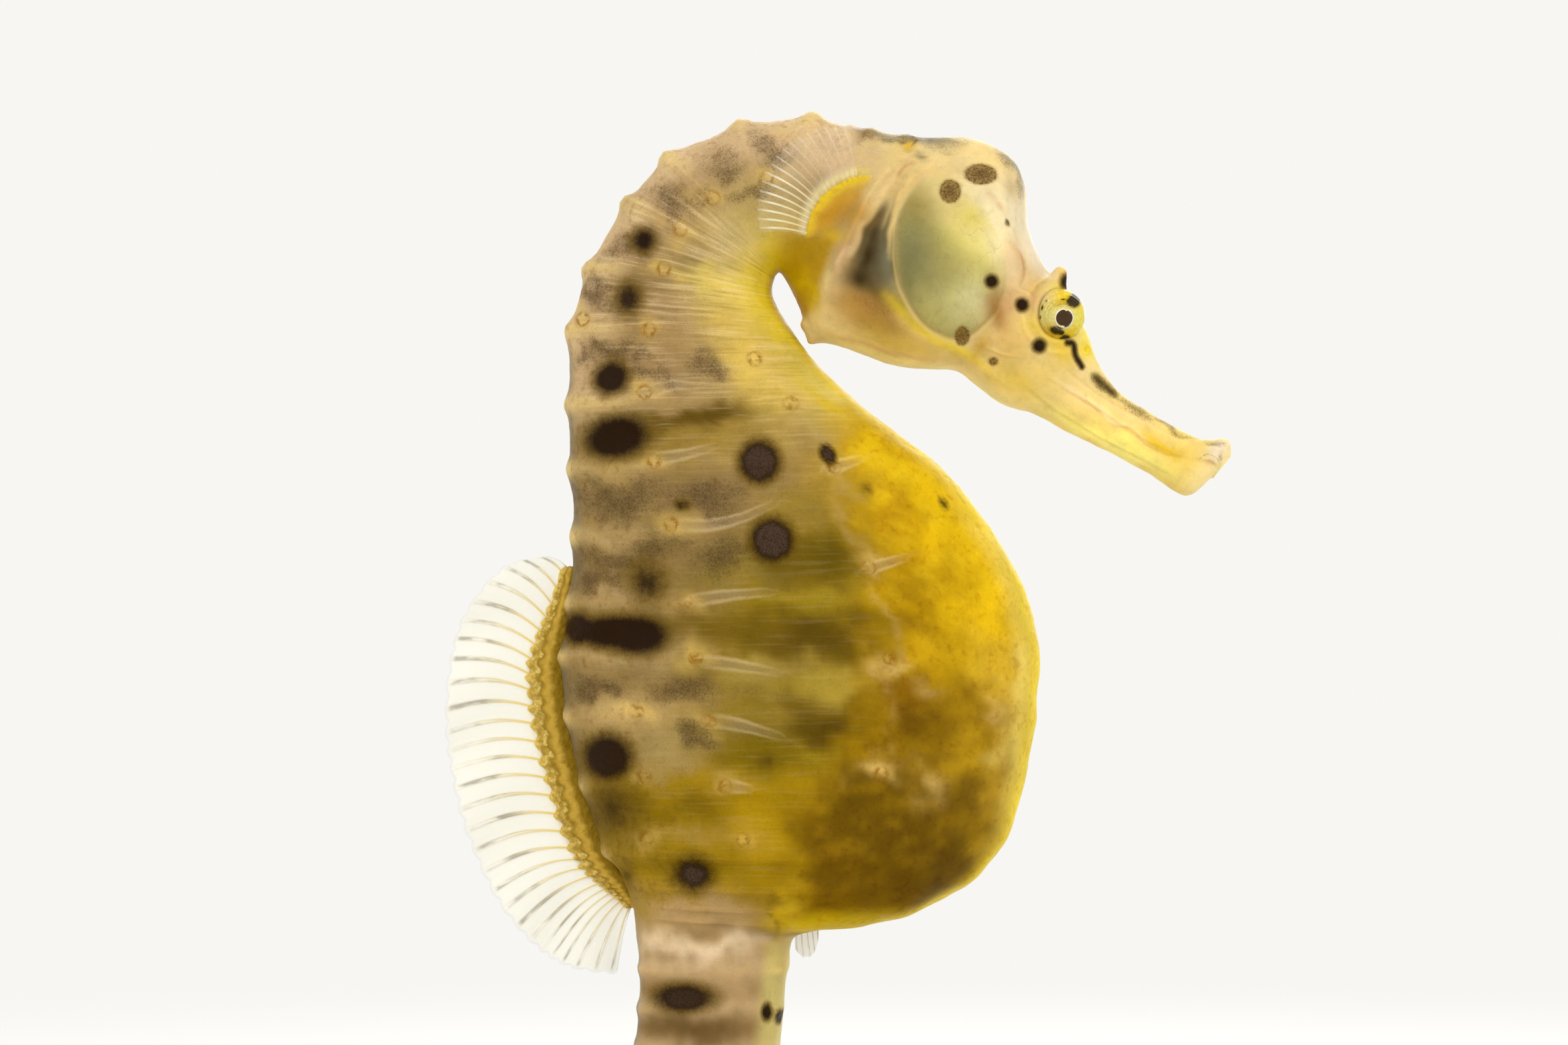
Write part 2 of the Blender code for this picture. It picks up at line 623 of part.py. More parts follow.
def make_stand():
    """Flat base, a collar and short rod, and a cradle under the curl."""
    length, width, height = BASE_SIZE
    steps = 6
    outline = []
    for corner in range(4):
        sign_x = (1, -1, -1, 1)[corner]
        sign_y = (1, 1, -1, -1)[corner]
        for k in range(steps + 1):
            turn = math.pi / 2 * (corner + k / steps)
            outline.append((sign_x * (length / 2 - BASE_CORNER) + BASE_CORNER * math.cos(turn),
                            sign_y * (width / 2 - BASE_CORNER) + BASE_CORNER * math.sin(turn)))
    rings = []
    for inset, z in ((0.0, 0.0), (0.0, height - BASE_BEVEL),
                     (0.3 * BASE_BEVEL, height - 0.3 * BASE_BEVEL),
                     (BASE_BEVEL, height)):
        narrower = 1 - 2 * inset / length
        shorter = 1 - 2 * inset / width
        rings.append([(x * narrower, y * shorter, z) for x, y in outline])
    points, faces = skin_between(rings)
    solid("stand_base", points, faces, "stand_wood", False)

    rod_x = TAIL_X + CURL_RADIUS
    lowest_place = shaft_length() + curl_length(0.25)
    under = tail_point(lowest_place)[0][1] - tail_depth(lowest_place) / 2
    cradle_low = under - CRADLE_SIZE[2] / 2
    bore = ROD_RADIUS + GAP
    collar_low = height + GAP
    collar_top = collar_low + COLLAR_HEIGHT
    turned("stand_collar", (rod_x, 0.0),
           [(bore, collar_low), (COLLAR_RADIUS, collar_low),
            (COLLAR_RADIUS, collar_top - 1.0), (COLLAR_RADIUS - 1.0, collar_top),
            (bore, collar_top), (bore, collar_low)], "stand_brass")
    turned("stand_rod", (rod_x, 0.0),
           [(ROD_RADIUS, collar_low), (ROD_RADIUS, cradle_low - GAP)],
           "stand_brass", 20)
    x_half, y_half = CRADLE_SIZE[0] / 2, CRADLE_SIZE[1] / 2
    block = [(rod_x - x_half, cradle_low + 1.2), (rod_x - x_half + 1.2, cradle_low),
             (rod_x + x_half - 1.2, cradle_low), (rod_x + x_half, cradle_low + 1.2),
             (rod_x + x_half, cradle_low + CRADLE_SIZE[2]),
             (rod_x - x_half, cradle_low + CRADLE_SIZE[2])]
    cradle = prism("stand_cradle", block, -y_half, y_half, "stand_brass")
    near = station_near_turn(0.25)
    bed = length_of_body("cut_cradle", near - 4, near + 4, 20, "skin_tan",
                         grow=GAP)
    combine(cradle, bed, "DIFFERENCE")


for old in list(bpy.data.objects):
    bpy.data.objects.remove(old, do_unlink=True)
make_tail()
make_trunk()
make_neck()
make_head()
make_snout()
make_dorsal_fin()
make_anal_fin()
make_stand()
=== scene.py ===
"""Pot-bellied seahorse on a plain display stand: the looks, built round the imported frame."""
import math

import bpy
import numpy as np
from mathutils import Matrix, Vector


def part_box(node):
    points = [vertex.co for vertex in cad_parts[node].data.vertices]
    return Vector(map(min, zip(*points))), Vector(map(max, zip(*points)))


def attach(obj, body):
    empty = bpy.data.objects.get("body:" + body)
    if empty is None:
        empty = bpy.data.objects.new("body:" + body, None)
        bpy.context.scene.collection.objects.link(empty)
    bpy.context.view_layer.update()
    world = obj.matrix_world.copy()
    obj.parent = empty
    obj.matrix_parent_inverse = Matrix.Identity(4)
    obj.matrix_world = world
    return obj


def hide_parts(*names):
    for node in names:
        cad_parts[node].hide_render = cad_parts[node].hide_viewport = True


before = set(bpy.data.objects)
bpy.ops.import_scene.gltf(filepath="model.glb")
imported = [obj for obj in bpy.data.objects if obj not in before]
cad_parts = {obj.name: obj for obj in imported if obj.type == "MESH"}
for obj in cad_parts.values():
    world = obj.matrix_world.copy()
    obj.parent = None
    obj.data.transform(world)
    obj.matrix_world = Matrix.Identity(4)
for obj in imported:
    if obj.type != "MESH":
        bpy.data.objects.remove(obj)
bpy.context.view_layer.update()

MM = 0.001                      # lengths below are in millimetres


# ==== Setting ==============================================================
# A plain pale table top that fades into a pale surround, a long lens level
# with the animal's shoulder, and soft lamps before and behind it, so that
# thin flesh and fins are lit from both sides.
CAMERA_AT = (-2.325, -327.0, 96.5)
LENS = 100.06
SURROUND = (0.930, 0.922, 0.890)
TABLE_TOP = (0.80, 0.79, 0.76)
TABLE_RADIUS = 620.0
TABLE_DROP = 0.02               # below the slab's foot
TABLE_FADE = (260.0, 600.0)
LAMPS = {                       # place, size, watts
    "lamp_front": ((-420.0, -760.0, 620.0), 520.0, 3.4),
    "lamp_head": ((620.0, -420.0, 380.0), 420.0, 1.5),
    "lamp_behind": ((160.0, 820.0, 420.0), 620.0, 3.6),
}
AIM = (0.0, 0.0, 92.0)


def scaled(point):
    """A point in millimetres as metres."""
    return tuple(c * MM for c in point)


def aimed(name, data, place, target):
    """An object that looks from its place at a target."""
    made = bpy.data.objects.new(name, data)
    bpy.context.scene.collection.objects.link(made)
    made.location = scaled(place)
    sight = Vector(scaled(target)) - made.location
    made.rotation_euler = sight.to_track_quat("-Z", "Y").to_euler()
    return made


def add(tree, kind, inputs=None, **settings):
    """A shader node; each input is set, or linked where it is given an output."""
    made = tree.nodes.new(kind)
    for name, value in settings.items():
        setattr(made, name, value)
    for name, value in (inputs or {}).items():
        if isinstance(value, bpy.types.NodeSocket):
            tree.links.new(value, made.inputs[name])
        else:
            made.inputs[name].default_value = value
    return made


def graded(tree, value, low, high, start=0.0, end=1.0):
    """The value between low and high, taken smoothly from start to end."""
    made = add(tree, "ShaderNodeMapRange",
               {"Value": value, "From Min": low, "From Max": high,
                "To Min": start, "To Max": end}, interpolation_type="SMOOTHSTEP")
    return made.outputs["Result"]


def finish_named(name):
    """A new material, its node tree and its Principled shader."""
    made = bpy.data.materials.new(name)
    made.use_nodes = True
    return made, made.node_tree, made.node_tree.nodes["Principled BSDF"]


def millimetres(tree):
    """Object coordinates, in millimetres."""
    place = add(tree, "ShaderNodeTexCoord").outputs["Object"]
    return add(tree, "ShaderNodeVectorMath", {0: place, 1: (1 / MM,) * 3},
               operation="MULTIPLY").outputs[0]


bpy.context.scene.view_settings.view_transform = "Standard"
camera_data = bpy.data.cameras.new("camera")
camera_data.lens = LENS
camera_data.clip_start = 0.01
camera_data.clip_end = 20.0
camera = aimed("camera", camera_data, CAMERA_AT, (CAMERA_AT[0], 0.0, CAMERA_AT[2]))
bpy.context.scene.camera = camera
for lamp_name, (lamp_at, lamp_size, lamp_watts) in LAMPS.items():
    lamp = bpy.data.lights.new(lamp_name, "AREA")
    lamp.size = lamp_size * MM
    lamp.energy = lamp_watts
    aimed(lamp_name, lamp, lamp_at, AIM)

world = bpy.data.worlds.new("surround")
world.use_nodes = True
world.node_tree.nodes["Background"].inputs["Color"].default_value = (*SURROUND, 1.0)
bpy.context.scene.world = world

bpy.ops.object.select_all(action="DESELECT")
bpy.ops.mesh.primitive_circle_add(vertices=96, radius=TABLE_RADIUS * MM,
                                  fill_type="NGON", location=(0.0, 0.0, -TABLE_DROP * MM))
table = bpy.context.object
table.name = "table_top"
table_finish, tree, shader = finish_named("table_top")
shader.inputs["Base Color"].default_value = (*TABLE_TOP, 1.0)
shader.inputs["Roughness"].default_value = 0.8
reach = add(tree, "ShaderNodeVectorMath", {0: millimetres(tree)}, operation="LENGTH")
gone = graded(tree, reach.outputs["Value"], *TABLE_FADE)
fade = add(tree, "ShaderNodeMixShader",
           {0: gone, 1: shader.outputs[0],
            2: add(tree, "ShaderNodeBsdfTransparent").outputs[0]})
tree.links.new(fade.outputs[0], tree.nodes["Material Output"].inputs["Surface"])
table.data.materials.append(table_finish)


# ==== Stand ================================================================
# A slab of dark stained wood with rounded corners, a turned brass collar let
# into it, a short brass rod, and a brass saddle that holds the tail's curl.
# The rod stands on the slab's top and is pressed into the saddle.
WOOD_DARK = (0.030, 0.017, 0.010, 1.0)
WOOD_LIGHT = (0.105, 0.056, 0.030, 1.0)
BRASS = (0.78, 0.55, 0.23, 1.0)
BRASS_DULL = (0.50, 0.34, 0.14, 1.0)
SLAB_CORNER = 7.0
SLAB_EDGE = 1.6
COLLAR_RIM = 0.9
COLLAR_STEP = 0.5
COLLAR_DISH = 0.6
COLLAR_EDGE = 0.3
ROD_EDGE = 0.15
ROD_IN_SADDLE = 0.4


def mixed(tree, share, first, second, how="MIX"):
    """One colour laid over another by a share."""
    return add(tree, "ShaderNodeMix", {0: share, 6: first, 7: second},
               data_type="RGBA", blend_type=how).outputs[2]


def noise(tree, vector, scale, detail, roughness=0.5, distortion=0.0):
    """The height of a noise at a vector."""
    return add(tree, "ShaderNodeTexNoise",
               {"Vector": vector, "Scale": scale, "Detail": detail,
                "Roughness": roughness, "Distortion": distortion}).outputs["Fac"]


def stretched(tree, vector, scale):
    """A vector scaled along each way."""
    return add(tree, "ShaderNodeMapping", {"Vector": vector, "Scale": scale}).outputs[0]


def bumped(tree, shader, height, strength, depth):
    """Roughens a surface by a height that stands for a depth in millimetres."""
    bump = add(tree, "ShaderNodeBump", {"Height": height, "Strength": strength,
                                        "Distance": depth * MM})
    tree.links.new(bump.outputs[0], shader.inputs["Normal"])


def wood():
    """Stained wood with long grain along X under a satin varnish."""
    made, tree, shader = finish_named("stand_wood")
    place = millimetres(tree)
    grain = noise(tree, stretched(tree, place, (0.035, 0.42, 0.42)), 1.0, 7.0, 0.62, 0.6)
    pores = noise(tree, stretched(tree, place, (0.12, 5.0, 5.0)), 1.0, 3.0)
    colour = mixed(tree, graded(tree, grain, 0.36, 0.66), WOOD_DARK, WOOD_LIGHT)
    colour = mixed(tree, graded(tree, pores, 0.60, 0.72, 0.0, 0.55), colour, WOOD_DARK)
    tree.links.new(colour, shader.inputs["Base Color"])
    tree.links.new(graded(tree, pores, 0.3, 0.7, 0.30, 0.42), shader.inputs["Roughness"])
    bumped(tree, shader, pores, 0.25, 0.05)
    return made


def brass():
    """Lacquered brass, turned and then rubbed, a little dull in places."""
    made, tree, shader = finish_named("stand_brass")
    place = millimetres(tree)
    dull = graded(tree, noise(tree, place, 0.5, 4.0), 0.45, 0.75)
    turning = noise(tree, stretched(tree, place, (0.6, 0.6, 14.0)), 1.0, 2.0)
    tree.links.new(mixed(tree, dull, BRASS, BRASS_DULL), shader.inputs["Base Color"])
    tree.links.new(graded(tree, turning, 0.3, 0.7, 0.20, 0.34), shader.inputs["Roughness"])
    shader.inputs["Metallic"].default_value = 1.0
    bumped(tree, shader, turning, 0.15, 0.03)
    return made


def box_of(node):
    """Lowest and highest corners of a CAD node, in millimetres."""
    low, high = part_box(node)
    return np.array(low) / MM, np.array(high) / MM


def settle(piece, name, finish, nodes):
    """Names a finished piece, fixes its place in its mesh and gives it to the frame."""
    piece.name = name
    bpy.ops.object.select_all(action="DESELECT")
    piece.select_set(True)
    bpy.context.view_layer.objects.active = piece
    bpy.ops.object.transform_apply(location=True, rotation=True, scale=True)
    piece.data.materials.clear()
    piece.data.materials.append(finish)
    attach(piece, "root")
    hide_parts(*nodes)


def bevelled(piece, width, segments, angle=30.0):
    """Rounds the edges sharper than an angle and shades the piece smooth."""
    bevel = piece.modifiers.new("rounding", "BEVEL")
    bevel.width = width * MM
    bevel.segments = segments
    bevel.limit_method = "ANGLE"
    bevel.angle_limit = math.radians(angle)
    bpy.ops.object.modifier_apply(modifier="rounding")
    bpy.ops.object.shade_smooth_by_angle(angle=math.radians(35.0))


def pick_afresh(kind):
    """Leaves nothing of a mesh selected, so that its edges or faces can be picked."""
    bpy.ops.object.mode_set(mode="EDIT")
    bpy.ops.mesh.select_mode(type=kind)
    bpy.ops.mesh.select_all(action="DESELECT")
    bpy.ops.object.mode_set(mode="OBJECT")


stand_wood = wood()
stand_brass = brass()

slab_low, slab_high = box_of("stand_base")
slab_size = slab_high - slab_low
bpy.ops.object.select_all(action="DESELECT")
bpy.ops.mesh.primitive_cube_add(size=1.0, location=scaled((slab_low + slab_high) / 2),
                                scale=scaled(slab_size))
slab = bpy.context.object
bpy.ops.object.transform_apply(location=True, rotation=True, scale=True)
pick_afresh("EDGE")
for edge in slab.data.edges:
    ends = [slab.data.vertices[v].co for v in edge.vertices]
    edge.select = abs(ends[0].z - ends[1].z) > MM
bpy.ops.object.mode_set(mode="EDIT")
bpy.ops.mesh.bevel(offset=SLAB_CORNER * MM, segments=10)
bpy.ops.object.mode_set(mode="OBJECT")
bevelled(slab, SLAB_EDGE, 5, 60.0)
settle(slab, "stand_slab", stand_wood, ["stand_base"])

collar_low, collar_high = box_of("stand_collar")
collar_radius = (collar_high[0] - collar_low[0]) / 2
collar_middle = (collar_low + collar_high) / 2
bpy.ops.object.select_all(action="DESELECT")
bpy.ops.mesh.primitive_cylinder_add(
    vertices=72, radius=collar_radius * MM,
    depth=(collar_high[2] - slab_high[2]) * MM,
    location=scaled((collar_middle[0], collar_middle[1],
                     (collar_high[2] + slab_high[2]) / 2)))
collar = bpy.context.object
bpy.ops.object.transform_apply(location=True, rotation=True, scale=True)
pick_afresh("FACE")
for face in collar.data.polygons:
    face.select = face.normal.z > 0.9
bpy.ops.object.mode_set(mode="EDIT")
bpy.ops.mesh.inset(thickness=COLLAR_RIM * MM)
bpy.ops.mesh.inset(thickness=COLLAR_STEP * MM)
bpy.ops.transform.translate(value=(0.0, 0.0, -COLLAR_DISH * MM))
bpy.ops.object.mode_set(mode="OBJECT")
bevelled(collar, COLLAR_EDGE, 3)
settle(collar, "stand_collar_turned", stand_brass, ["stand_collar"])

rod_low, rod_high = box_of("stand_rod")
saddle_foot = box_of("stand_cradle")[0][2]
rod_length = saddle_foot + ROD_IN_SADDLE - slab_high[2]
bpy.ops.object.select_all(action="DESELECT")
bpy.ops.mesh.primitive_cylinder_add(
    vertices=48, radius=(rod_high[0] - rod_low[0]) / 2 * MM, depth=rod_length * MM,
    location=scaled((collar_middle[0], 0.0, slab_high[2] + rod_length / 2)))
rod = bpy.context.object
bevelled(rod, ROD_EDGE, 2)
settle(rod, "stand_rod_drawn", stand_brass, ["stand_rod"])

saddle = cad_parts["stand_cradle"]
for place in saddle.material_slots:
    place.material = stand_brass


# ==== Skin =================================================================
# One skin covers the animal from the tip of its curled tail to its lips.  It
# is thin, wet and half clear, drawn over rings of bony plate that show as
# low ridges and small spines, and over a soft full belly.
TAIL_X = -8.1
TAIL_TOP_Z = 57.3
CURL_Z = 37.3
CURL_RADIUS = 13.0
CURL_TURNS = 1.2
CURL_PITCH = 6.5
TAIL_DEPTH = 10.85
TIP_DEPTH = 1.2
TAIL_WIDTH_RATIO = 0.83
RING_BASE = 0.8
RING_SHARE = 0.25
TRUNK_RING_SINK = 0.28
TAIL_RING_SINK = 0.18

# Slices across the body: front x, z, back x, z, half width, where it is
# widest (-1 front, 1 back), and how round its back, front and flanks are.
BODY = [
    (-2.35, 60.20, -13.30, 60.20, 4.50, 0.00, 0.70, 0.72, 0.72),
    (-2.00, 63.20, -13.25, 63.20, 4.60, 0.00, 0.72, 0.74, 0.74),
    (-1.35, 65.60, -13.35, 65.60, 4.75, 0.02, 0.74, 0.80, 0.78),
    (0.60, 66.05, -13.40, 66.45, 4.95, 0.06, 0.76, 0.95, 0.82),
    (3.85, 66.35, -13.50, 67.20, 5.40, 0.04, 0.78, 1.05, 0.85),
    (7.45, 67.25, -13.80, 68.20, 6.00, 0.00, 0.80, 1.10, 0.88),
    (10.85, 69.00, -14.35, 69.45, 6.70, -0.06, 0.80, 1.08, 0.90),
    (13.75, 71.80, -15.90, 71.70, 7.40, -0.12, 0.82, 1.04, 0.90),
    (15.75, 77.20, -17.65, 76.70, 8.10, -0.15, 0.84, 1.00, 0.90),
    (16.55, 82.10, -18.90, 81.95, 8.40, -0.16, 0.85, 1.00, 0.90),
    (16.80, 86.45, -19.25, 86.45, 8.35, -0.16, 0.85, 1.00, 0.90),
    (15.90, 90.95, -18.75, 90.45, 8.00, -0.14, 0.84, 1.02, 0.90),
    (13.25, 95.95, -18.30, 95.45, 7.50, -0.10, 0.82, 1.04, 0.88),
    (9.05, 100.95, -18.60, 100.45, 6.90, -0.06, 0.80, 1.04, 0.86),
    (2.65, 105.95, -18.65, 105.30, 6.30, 0.00, 0.80, 1.02, 0.85),
    (-1.65, 110.70, -18.45, 110.95, 5.70, 0.00, 0.80, 0.98, 0.84),
    (-3.15, 113.45, -17.15, 115.60, 5.30, 0.00, 0.80, 0.96, 0.84),
    (-3.10, 114.65, -14.25, 120.55, 5.10, 0.00, 0.80, 0.96, 0.84),
    (-2.85, 115.15, -11.20, 123.95, 5.00, -0.02, 0.82, 0.96, 0.84),
    (-2.55, 115.20, -5.65, 126.35, 5.00, -0.02, 0.84, 0.96, 0.84),
    (-2.15, 114.60, -0.10, 127.05, 5.10, -0.04, 0.88, 0.95, 0.85),
    (-1.50, 113.35, 4.35, 125.85, 5.40, -0.08, 0.95, 0.95, 0.87),
    (-0.85, 111.80, 8.10, 125.35, 5.75, -0.12, 0.98, 0.93, 0.88),
    (-0.35, 110.45, 11.10, 125.30, 6.00, -0.14, 1.00, 0.92, 0.90),
    (3.05, 109.35, 14.05, 124.00, 6.10, -0.16, 1.00, 0.92, 0.90),
    (5.85, 108.35, 15.65, 121.75, 5.90, -0.16, 0.98, 0.92, 0.90),
    (8.60, 108.00, 16.00, 118.45, 5.30, -0.12, 0.94, 0.92, 0.90),
    (10.35, 108.05, 16.95, 116.10, 4.70, -0.04, 0.88, 0.92, 0.90),
    (12.35, 106.55, 18.45, 113.90, 4.10, 0.05, 0.82, 0.92, 0.90),
    (14.10, 105.35, 20.20, 111.10, 3.45, 0.08, 0.80, 0.92, 0.90),
    (16.10, 104.80, 21.20, 108.50, 2.70, 0.05, 0.82, 0.90, 0.90),
    (18.85, 103.40, 22.85, 106.30, 1.95, 0.00, 0.84, 0.90, 0.88),
    (22.00, 101.80, 25.15, 104.70, 1.70, 0.00, 0.86, 0.90, 0.88),
    (24.95, 100.20, 27.60, 103.35, 1.75, 0.00, 0.86, 0.90, 0.88),
    (27.10, 98.95, 29.45, 102.65, 1.85, 0.00, 0.86, 0.88, 0.86),
    (28.45, 98.85, 30.55, 102.50, 1.50, 0.00, 0.88, 0.88, 0.86),
    (29.75, 99.80, 30.95, 101.50, 0.75, 0.00, 0.90, 0.90, 0.90),
]
RING_1 = 7
RING_14 = 20
HEAD_START = 21.8

ROWS_PER_TAIL_RING = 6
TRUNK_ROW = 0.62                # spacing of the skin's rows before it is refined
HEAD_ROW = 0.38
COLUMNS = 64
FLANK_CROWDING = 0.34           # moves columns from the edges to the flanks
FINE_HEAD = [(11.5, 108.0, 21.0, 117.0), (2.0, 110.0, 8.2, 122.8)]     # low and high X and Z
REFINED_TAIL_ROWS = 8
LIP_ROWS = 14
TIP_ROWS = 4
MOUTH_DEPTH = 1.6
LIP_CURL = 0.35                 # share of the lips' rows that curl outward first
SKIN_WELD = 0.002


def curl_length(turns):
    """Length along the curl's middle line after so many turns."""
    return 2 * math.pi * (CURL_RADIUS * turns - CURL_PITCH * turns ** 2 / 2)


SHAFT_LENGTH = TAIL_TOP_Z - CURL_Z
TAIL_LENGTH = SHAFT_LENGTH + curl_length(CURL_TURNS)


def tail_depth(distance):
    """The tail's depth at a distance down it."""
    return TAIL_DEPTH + (TIP_DEPTH - TAIL_DEPTH) * distance / TAIL_LENGTH


def tail_point(distance):
    """Middle of the tail and its outward direction, in X and Z."""
    if distance <= SHAFT_LENGTH:
        return (TAIL_X, TAIL_TOP_Z - distance), (-1.0, 0.0)
    along = (distance - SHAFT_LENGTH) / (2 * math.pi)
    turns = (CURL_RADIUS - math.sqrt(CURL_RADIUS ** 2 - 2 * CURL_PITCH * along)) / CURL_PITCH
    angle = math.pi + 2 * math.pi * turns
    out = (math.cos(angle), math.sin(angle))
    radius = CURL_RADIUS - CURL_PITCH * turns
    return (TAIL_X + CURL_RADIUS + radius * out[0], CURL_Z + radius * out[1]), out


def tail_slices():
    """One slice for each ring of the tail, from the tip up."""
    places = [0.0]
    while places[-1] < TAIL_LENGTH:
        places.append(places[-1] + RING_BASE + RING_SHARE * tail_depth(places[-1]))
    slices = []
    for place in reversed(places):
        distance = place * TAIL_LENGTH / places[-1]
        (x, z), (out_x, out_z) = tail_point(distance)
        half = tail_depth(distance) / 2
        slices.append((x - half * out_x, z - half * out_z, x + half * out_x,
                       z + half * out_z, half * TAIL_WIDTH_RATIO, 0.0, 0.70, 0.72, 0.72))
    return slices


TAIL = tail_slices()
TAIL_COUNT = len(TAIL)
SLICES = np.array(TAIL + BODY)
END = len(SLICES) - 1.0
STEPS = (np.linalg.norm(np.diff(SLICES[:, 0:2], axis=0), axis=1)
         + np.linalg.norm(np.diff(SLICES[:, 2:4], axis=0), axis=1)) / 2
KNOTS = np.concatenate([[0.0], np.cumsum(STEPS)])


def slopes():
    """Rate of change of the slices' values along the body."""
    rates = np.diff(SLICES, axis=0) / STEPS[:, None]
    before, after = STEPS[:-1, None], STEPS[1:, None]
    inner = (rates[:-1] * after + rates[1:] * before) / (before + after)
    return np.vstack([rates[:1], inner, rates[-1:]])


SLOPES = slopes()


def slice_at(u):
    """Values of the slices at each place u, smoothly between the listed ones."""
    i = np.clip(u.astype(int), 0, len(SLICES) - 2)
    t = (u - i)[:, None]
    step = STEPS[i][:, None]
    return ((2 * t ** 3 - 3 * t ** 2 + 1) * SLICES[i]
            + (t ** 3 - 2 * t ** 2 + t) * step * SLOPES[i]
            + (3 * t ** 2 - 2 * t ** 3) * SLICES[i + 1]
            + (t ** 3 - t ** 2) * step * SLOPES[i + 1])


def frame_of(u):
    """Slices at u with their depth and unit directions across and along the body."""
    row = slice_at(u)
    across = row[:, 2:4] - row[:, 0:2]
    depth = np.linalg.norm(across, axis=1)
    across /= depth[:, None]
    along = np.stack([across[:, 1], -across[:, 0]], axis=1)
    ahead = slice_at(np.minimum(u + 0.2, END))
    behind = slice_at(np.maximum(u - 0.2, 0.0))
    travel = ahead[:, 0:2] + ahead[:, 2:4] - behind[:, 0:2] - behind[:, 2:4]
    along *= np.where((travel * along).sum(1) < 0, -1.0, 1.0)[:, None]
    return row, depth, across, along


def soft(value, low, high):
    """0 below low, 1 above high and smooth between, or the other way round."""
    t = np.clip((value - low) / (high - low), 0.0, 1.0)
    return t * t * (3 - 2 * t)


def hump(value, middle, width):
    """1 where a value is at the middle of a hump, falling smoothly to 0 off it."""
    return np.exp(-((value - middle) / width) ** 2)


def off_ring(u, width=0.2):
    """0 on a ring of plate, 1 between rings."""
    return 1.0 - hump(u, np.round(u), width)


def ring_sink(u, depth):
    """How far the skin lies below its rings at u."""
    body = u - TAIL_COUNT
    trunk = TRUNK_RING_SINK * off_ring(u)
    root = np.clip(body - 1.0, 0.0, 1.0) * np.clip(6.8 - body, 0.0, 1.0)
    tail = TAIL_RING_SINK * off_ring(u) * depth / TAIL_DEPTH * (1 - root)
    return np.where(body > RING_14 + 0.5, 0.0, np.where(body > RING_1 - 0.5, trunk, tail))


def powered(base, power):
    """A power of what is above 0."""
    return np.maximum(base, 0.0) ** power


def on_body(u, angle, scale=1.0, shift=0.0):
    """Points on the body at u and an angle round it from the back, in X, Y and Z."""
    row, depth, across, along = frame_of(u)
    c, s = np.cos(angle), np.sin(angle)
    half_width, widest, back, front, flank = row[:, 4:9].T
    rise = -ring_sink(u, depth) * (1 + c) / 2
    behind = ((1 - widest) * depth / 2 + rise) * powered(c, back)
    ahead = ((1 + widest) * depth / 2 + rise) * powered(-c, front)
    reach = (behind - ahead) * scale
    width = (half_width + rise) * np.abs(s) ** flank * np.sign(s) * scale
    middle = (row[:, 0:2] + row[:, 2:4]) / 2 + across * (widest * depth / 2)[:, None]
    place = middle + across * reach[:, None] + along * np.broadcast_to(shift, u.shape)[:, None]
    return np.stack([place[:, 0], width, place[:, 1]], axis=1)


def vertex_places(mesh):
    """The places of a mesh's vertices, one in each row."""
    places = np.zeros(len(mesh.vertices) * 3)
    mesh.vertices.foreach_get("co", places)
    return places.reshape(-1, 3)


def put_vertices(mesh, places):
    """Moves a mesh's vertices to new places."""
    mesh.vertices.foreach_set("co", places.astype(np.float32).ravel())
    mesh.update()


def vertex_normals(mesh):
    """The outward directions at a mesh's vertices."""
    normals = np.zeros(len(mesh.vertices) * 3, np.float32)
    mesh.vertices.foreach_get("normal", normals)
    return normals.reshape(-1, 3).astype(float)


def keep(mesh, name, values, kind="FLOAT"):
    """Stores a value for each vertex on the mesh."""
    made = mesh.attributes.new(name, kind, "POINT")
    made.data.foreach_set("color" if kind == "FLOAT_COLOR" else "value",
                          values.astype(np.float32).ravel())


def kept(mesh, name):
    """A value stored for each vertex."""
    values = np.zeros(len(mesh.vertices), np.float32)
    mesh.attributes[name].data.foreach_get("value", values)
    return values.astype(float)


# The grid's rows run from the tail's tip to the lips and in again between them.
tail_rows = ROWS_PER_TAIL_RING * TAIL_COUNT
head_at = np.interp(TAIL_COUNT + HEAD_START, np.arange(END + 1), KNOTS)
trunk_rows = int((head_at - KNOTS[TAIL_COUNT]) / TRUNK_ROW)
head_rows = int((KNOTS[-1] - head_at) / HEAD_ROW)
row_marks = np.cumsum([0, tail_rows, trunk_rows, head_rows, LIP_ROWS])
u_marks = (0.0, float(TAIL_COUNT), TAIL_COUNT + HEAD_START, END, END)


def along_at(row):
    """Place along the body of a row of the grid, in slices."""
    length_marks = np.interp(u_marks, np.arange(END + 1), KNOTS)
    by_length = np.interp(np.interp(row, row_marks, length_marks), KNOTS, np.arange(END + 1))
    by_ring = row / ROWS_PER_TAIL_RING
    return np.where(row < tail_rows, by_ring, by_length)


def sheet(columns, rows):
    """A flat grid, 2 m wide each way, to be rolled into a piece."""
    bpy.ops.object.select_all(action="DESELECT")
    bpy.ops.mesh.primitive_grid_add(x_subdivisions=columns, y_subdivisions=rows, size=2.0)
    return bpy.context.object


def sewn(gap):
    """Welds a rolled sheet's meeting edges and shades it smooth, facing outward."""
    bpy.ops.object.mode_set(mode="EDIT")
    bpy.ops.mesh.select_all(action="SELECT")
    bpy.ops.mesh.remove_doubles(threshold=gap * MM)
    bpy.ops.mesh.normals_make_consistent(inside=False)
    bpy.ops.object.mode_set(mode="OBJECT")
    bpy.ops.object.shade_smooth()


